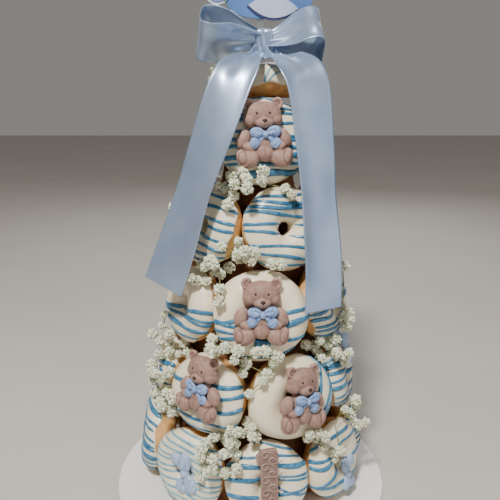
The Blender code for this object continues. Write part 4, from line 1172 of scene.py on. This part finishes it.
# Heads as the angle round the tower in degrees and the height in mm, and where they differ from 0 and 1 the
# stand-off in mm and the size
SPRAYS = {
    "under_bear": ((-20, 353), (-10, 358), (3, 359), (-19, 334), (-10, 340), (-27, 341), (20, 341),
        (4, 345, 0, 0.6)),
    "waist": ((-22, 288, 0, 0.8), (-30, 272), (-13, 282), (-2, 284), (9, 272), (-39, 264), (-31, 259),
        (-22, 262), (-15, 272), (-7, 277), (-39, 250), (-20, 248)),
    "middle": ((-23, 199), (-15, 194), (-8, 196), (0, 192), (-5, 178), (9, 180), (6, 168),
        (-3, 148, 0, 0.8)),
    "side": ((-66, 203, 2, 0.7), (-67, 190, 6, 0.8), (-62, 180, 2), (-70, 170, 4), (-60, 170),
        (-64, 160, 4), (-55, 162), (-52, 150), (-66, 148, 4), (-58, 140), (-50, 128), (-53, 114),
        (-60, 120, 3), (-63, 132, 5, 0.8), (-64, 106, 4, 0.8), (-47, 110), (-52, 100)),
    "low": ((-20, 99), (-12, 103), (-4, 107), (-17, 89), (-8, 94), (1, 98), (-22, 78), (-14, 78), (-20, 67),
        (-9, 84), (-13, 66, 0, 0.8)),
    "right": ((39, 178), (45, 174), (52, 176), (48, 166), (55, 167), (57, 158), (42, 186, 0, 0.8),
        (52, 184)),
    "corner": ((31, 101), (33, 90), (37, 80), (41, 72), (50, 62, 0, 0.8), (61, 112, 4), (57, 102, 3, 0.8),
        (63, 92, 8), (61, 84, 6), (27, 94, 0, 0.8)),
    "back": ((160, 214), (172, 206), (166, 190), (154, 196), (178, 190), (164, 226, 0, 0.8),
        (170, 176, 0, 0.8)),
    "far": ((68, 262), (73, 252, 2), (62, 202), (68, 210, 0, 0.8), (60, 194)),
    "bow": ((-68, 452, 3, 0.9), (-60, 446), (-74, 444, 2, 0.8)),
    "flank": ((-84, 322, 4, 0.8), (-78, 314, 2), (-82, 306, 0, 0.8), (-70, 318, 0, 0.8)),
}
# How many more heads stand beside each whole one
CROWDED = {"corner": 1, "under_bear": 1, "middle": 1, "low": 2, "right": 1, "waist": 1, "side": 1, "far": 1}
FAR_OUT = 190 * MM  # where a head starts on its way in
NEAREST = 112 * MM  # how near the axis it may come at the board, so that none slips inside the tower
NEAREST_TAPER = 0.145  # and how much nearer for each metre up
ROOM = 0.75  # how close two heads may come, as a share of the sum of their radii
SEATED = 0.86  # the share of its radius at which a head rests


class Seat:
    """What is already there, for the flowers to lie on: the pieces' faces, and the heads as balls"""

    def __init__(self, objects):
        points, faces = [], []
        for obj in objects:
            start = len(points)
            points += [v.co.copy() for v in obj.data.vertices]
            faces += [[start + v for v in polygon.vertices] for polygon in obj.data.polygons]
        self.tree = BVHTree.FromPolygons(points, faces)
        self.balls = []

    def touch(self, angle, height, radius, off=0.0):
        """Where a ball that comes from outside is stopped, in a gap by the flowers already pushed into it"""
        axis = axis_point(height)
        out = Vector((math.sin(angle), -math.cos(angle), 0))
        reach = FAR_OUT
        while reach > NEAREST - NEAREST_TAPER * height:
            spot = axis + out * reach
            free = min([self.tree.find_nearest(spot)[3] - radius]
                       + [(spot - ball).length - ROOM * (room + radius) for ball, room in self.balls])
            if free <= 0.05 * MM:
                break
            reach -= max(0.05 * MM, free)
        spot = axis + out * (reach + off)
        self.balls.append((spot, radius))
        return spot

    def lifted(self, spot, clearance):
        """The spot moved outwards until it clears the pieces"""
        outward = (spot - axis_point(spot.z)).normalized()
        for _ in range(60):
            if self.tree.find_nearest(spot)[3] >= clearance:
                break
            spot = spot + outward * 0.5 * MM
        return spot


PETALS = 46


def petal_outline(size, bend):
    """A small cupped petal with a frilled end, as two skins joined round their rim"""
    rows = ((-0.3, 0.09, 0), (0.08, 0.27, 0), (0.36, 0.17, 0.05))
    middle = [(x * half * size, bend * (0.5 * half * x * x + 0.4 * height) + frill * x, height * size)
              for height, half, frill in rows for x in (-1, 0, 1)]
    points = [(x, y + side * 0.035, z) for side in (1, -1) for x, y, z in middle]
    skin = grid_faces(3, 3)
    rim = (0, 1, 2, 5, 8, 7, 6, 3)
    faces = skin + [tuple(v + 9 for v in face[::-1]) for face in skin]
    return points, faces + [(a, a + 9, b + 9, b) for a, b in zip(rim, rim[1:] + rim[:1])]


def head_form(seed):
    """A double flower head: many small frilled petals round a ball"""
    rand = random.Random(seed)
    parts = Parts()
    parts.add(*lump(Vector((0, 0, 0)), [0.5] * 3, 0, 1))
    for k in range(PETALS):
        z = 1 - 2 * (k + 0.5) / PETALS
        reach, turn = math.sqrt(1 - z * z), k * 2.39996
        way = Vector((reach * math.cos(turn), reach * math.sin(turn), z))
        way = (way + Vector([rand.uniform(-0.2, 0.2) for _ in range(3)])).normalized()
        place = Matrix.Translation(way * rand.uniform(0.56, 0.74))
        place = place @ way.to_track_quat("Z", "Y").to_matrix().to_4x4()
        place = place @ Matrix.Rotation(rand.uniform(0, 6.3), 4, "Z")
        place = place @ Matrix.Rotation(rand.uniform(-0.8, 0.8), 4, "X")
        points, faces = petal_outline(rand.uniform(0.85, 1.2), rand.choice((-1, 1)) * rand.uniform(0.4, 1.0))
        parts.add([place @ Vector(p) for p in points], faces)
    points = np.concatenate(parts.points)
    return points / np.linalg.norm(points, axis=1).max(), parts.faces


HEADS = [head_form(seed) for seed in range(5)]


def spray(name, spots, seat):
    rand = random.Random(name)
    parts = Parts()
    centres, crowd = [], []
    for angle, height, *rest in spots:
        if len(rest) < 2:
            for _ in range(CROWDED.get(name, 0)):
                way, apart = rand.uniform(0, 6.3), rand.uniform(7, 10)
                crowd.append((angle + apart * math.cos(way) * 0.55, height + apart * math.sin(way),
                              sum(rest) + rand.uniform(-1, 2), rand.uniform(0.75, 1.0)))
    for angle, height, *rest in (*spots, *crowd):
        off, size = (list(rest) + [0, 1.0][len(rest):])[:2]
        radius = HEAD_RADIUS * size * rand.uniform(0.94, 1.06)
        centre = seat.touch(math.radians(angle), height * MM, radius * SEATED, off * MM)
        points, faces = rand.choice(HEADS)
        way = rand.uniform(0, 6.3)
        turn = np.array(Matrix.Rotation(way, 3, Vector((rand.random(), rand.random(), rand.random()))))
        parts.add(points @ turn.T * radius + np.array(centre), faces)
        centres.append(centre)
    middle = sum(centres, Vector()) / len(centres)
    order = sorted(range(len(centres)), key=lambda k: (centres[k] - middle).length)
    joined = [order[0]]
    for k in order[1:]:
        near = min(joined, key=lambda j: (centres[k] - centres[j]).length)
        start, end = centres[near], centres[k]
        gap = (end - start).length
        bend = Vector([rand.uniform(-1, 1) for _ in range(3)]) * gap * 0.12
        spine = []
        for step in range(11):
            share = step / 10
            spot = start.lerp(end, share) + bend * math.sin(share * math.pi)
            spot -= (spot - axis_point(spot.z)).normalized() * 3 * MM * math.sin(share * math.pi)
            spine.append(seat.lifted(spot, STEM_RADIUS * 1.2) if 0 < step < 10 else spot)
        parts.add(*tube(spine, STEM_RADIUS * rand.uniform(0.85, 1.1), 5), 1)
        joined.append(k)
    node = "spray_" + name
    name = "gypsophila_" + name
    piece(name, parts.mesh(name), (PETAL, STEM), (node,) if node in nodes else ())


seat = Seat(solids)
for name, spots in SPRAYS.items():
    spray(name, spots, seat)


# --- Floor, light and camera -----------------------------------------------------------------------------

FLOOR_HALF = 8.0
FLOOR_DROP = 0.3 * MM  # below the board's underside, so that the two don't share a plane
# Each light: its name, place, aim, size, power and colour
LIGHTS = (
    ("key", (-0.35, -1.0, 1.75), (0, 0, 0.22), 0.22, 50, (1.0, 0.97, 0.92)),
    ("fill", (1.3, -1.3, 0.6), (0, 0, 0.25), 1.6, 7, (0.94, 0.97, 1.0)),
    ("back", (0.3, 1.6, 1.3), (0, 0, 0.3), 1.2, 10, (1, 1, 1)),
)
WORLD_STRENGTH = 0.36
CAMERA_PLACE = (0, -0.5753, 0.4168)
CAMERA_PITCH = 14.42  # degrees below the level
SENSOR_WIDTH, LENS = 36, 40.05
CAMERA_SHIFT = -0.00126


def stage():
    h = FLOOR_HALF
    floor = mesh_of("floor", [(-h, -h, 0), (h, -h, 0), (h, h, 0), (-h, h, 0)], [(0, 1, 2, 3)])
    obj = linked("floor", floor)
    obj.location.z = -FLOOR_DROP
    floor.materials.append(FLOOR)


def area_light(name, place, aim, size, power, colour):
    light = bpy.data.lights.new(name, "AREA")
    light.shape = "DISK"
    light.size, light.energy, light.color = size, power, colour
    obj = linked(name, light)
    obj.location = place
    obj.rotation_euler = (Vector(aim) - Vector(place)).to_track_quat("-Z", "Y").to_euler()


def light_scene():
    for light in LIGHTS:
        area_light(*light)
    world = bpy.data.worlds.new("studio")
    world.use_nodes = True
    world.node_tree.nodes["Background"].inputs["Color"].default_value = (*srgb(214, 210, 205), 1.0)
    world.node_tree.nodes["Background"].inputs["Strength"].default_value = WORLD_STRENGTH
    bpy.context.scene.world = world


def place_camera():
    data = bpy.data.cameras.new("camera")
    data.sensor_width, data.lens = SENSOR_WIDTH, LENS
    data.shift_x = CAMERA_SHIFT
    camera = linked("camera", data)
    camera.location = CAMERA_PLACE
    camera.rotation_euler = (math.radians(90 - CAMERA_PITCH), 0, 0)
    bpy.context.scene.camera = camera


stage()
light_scene()
place_camera()
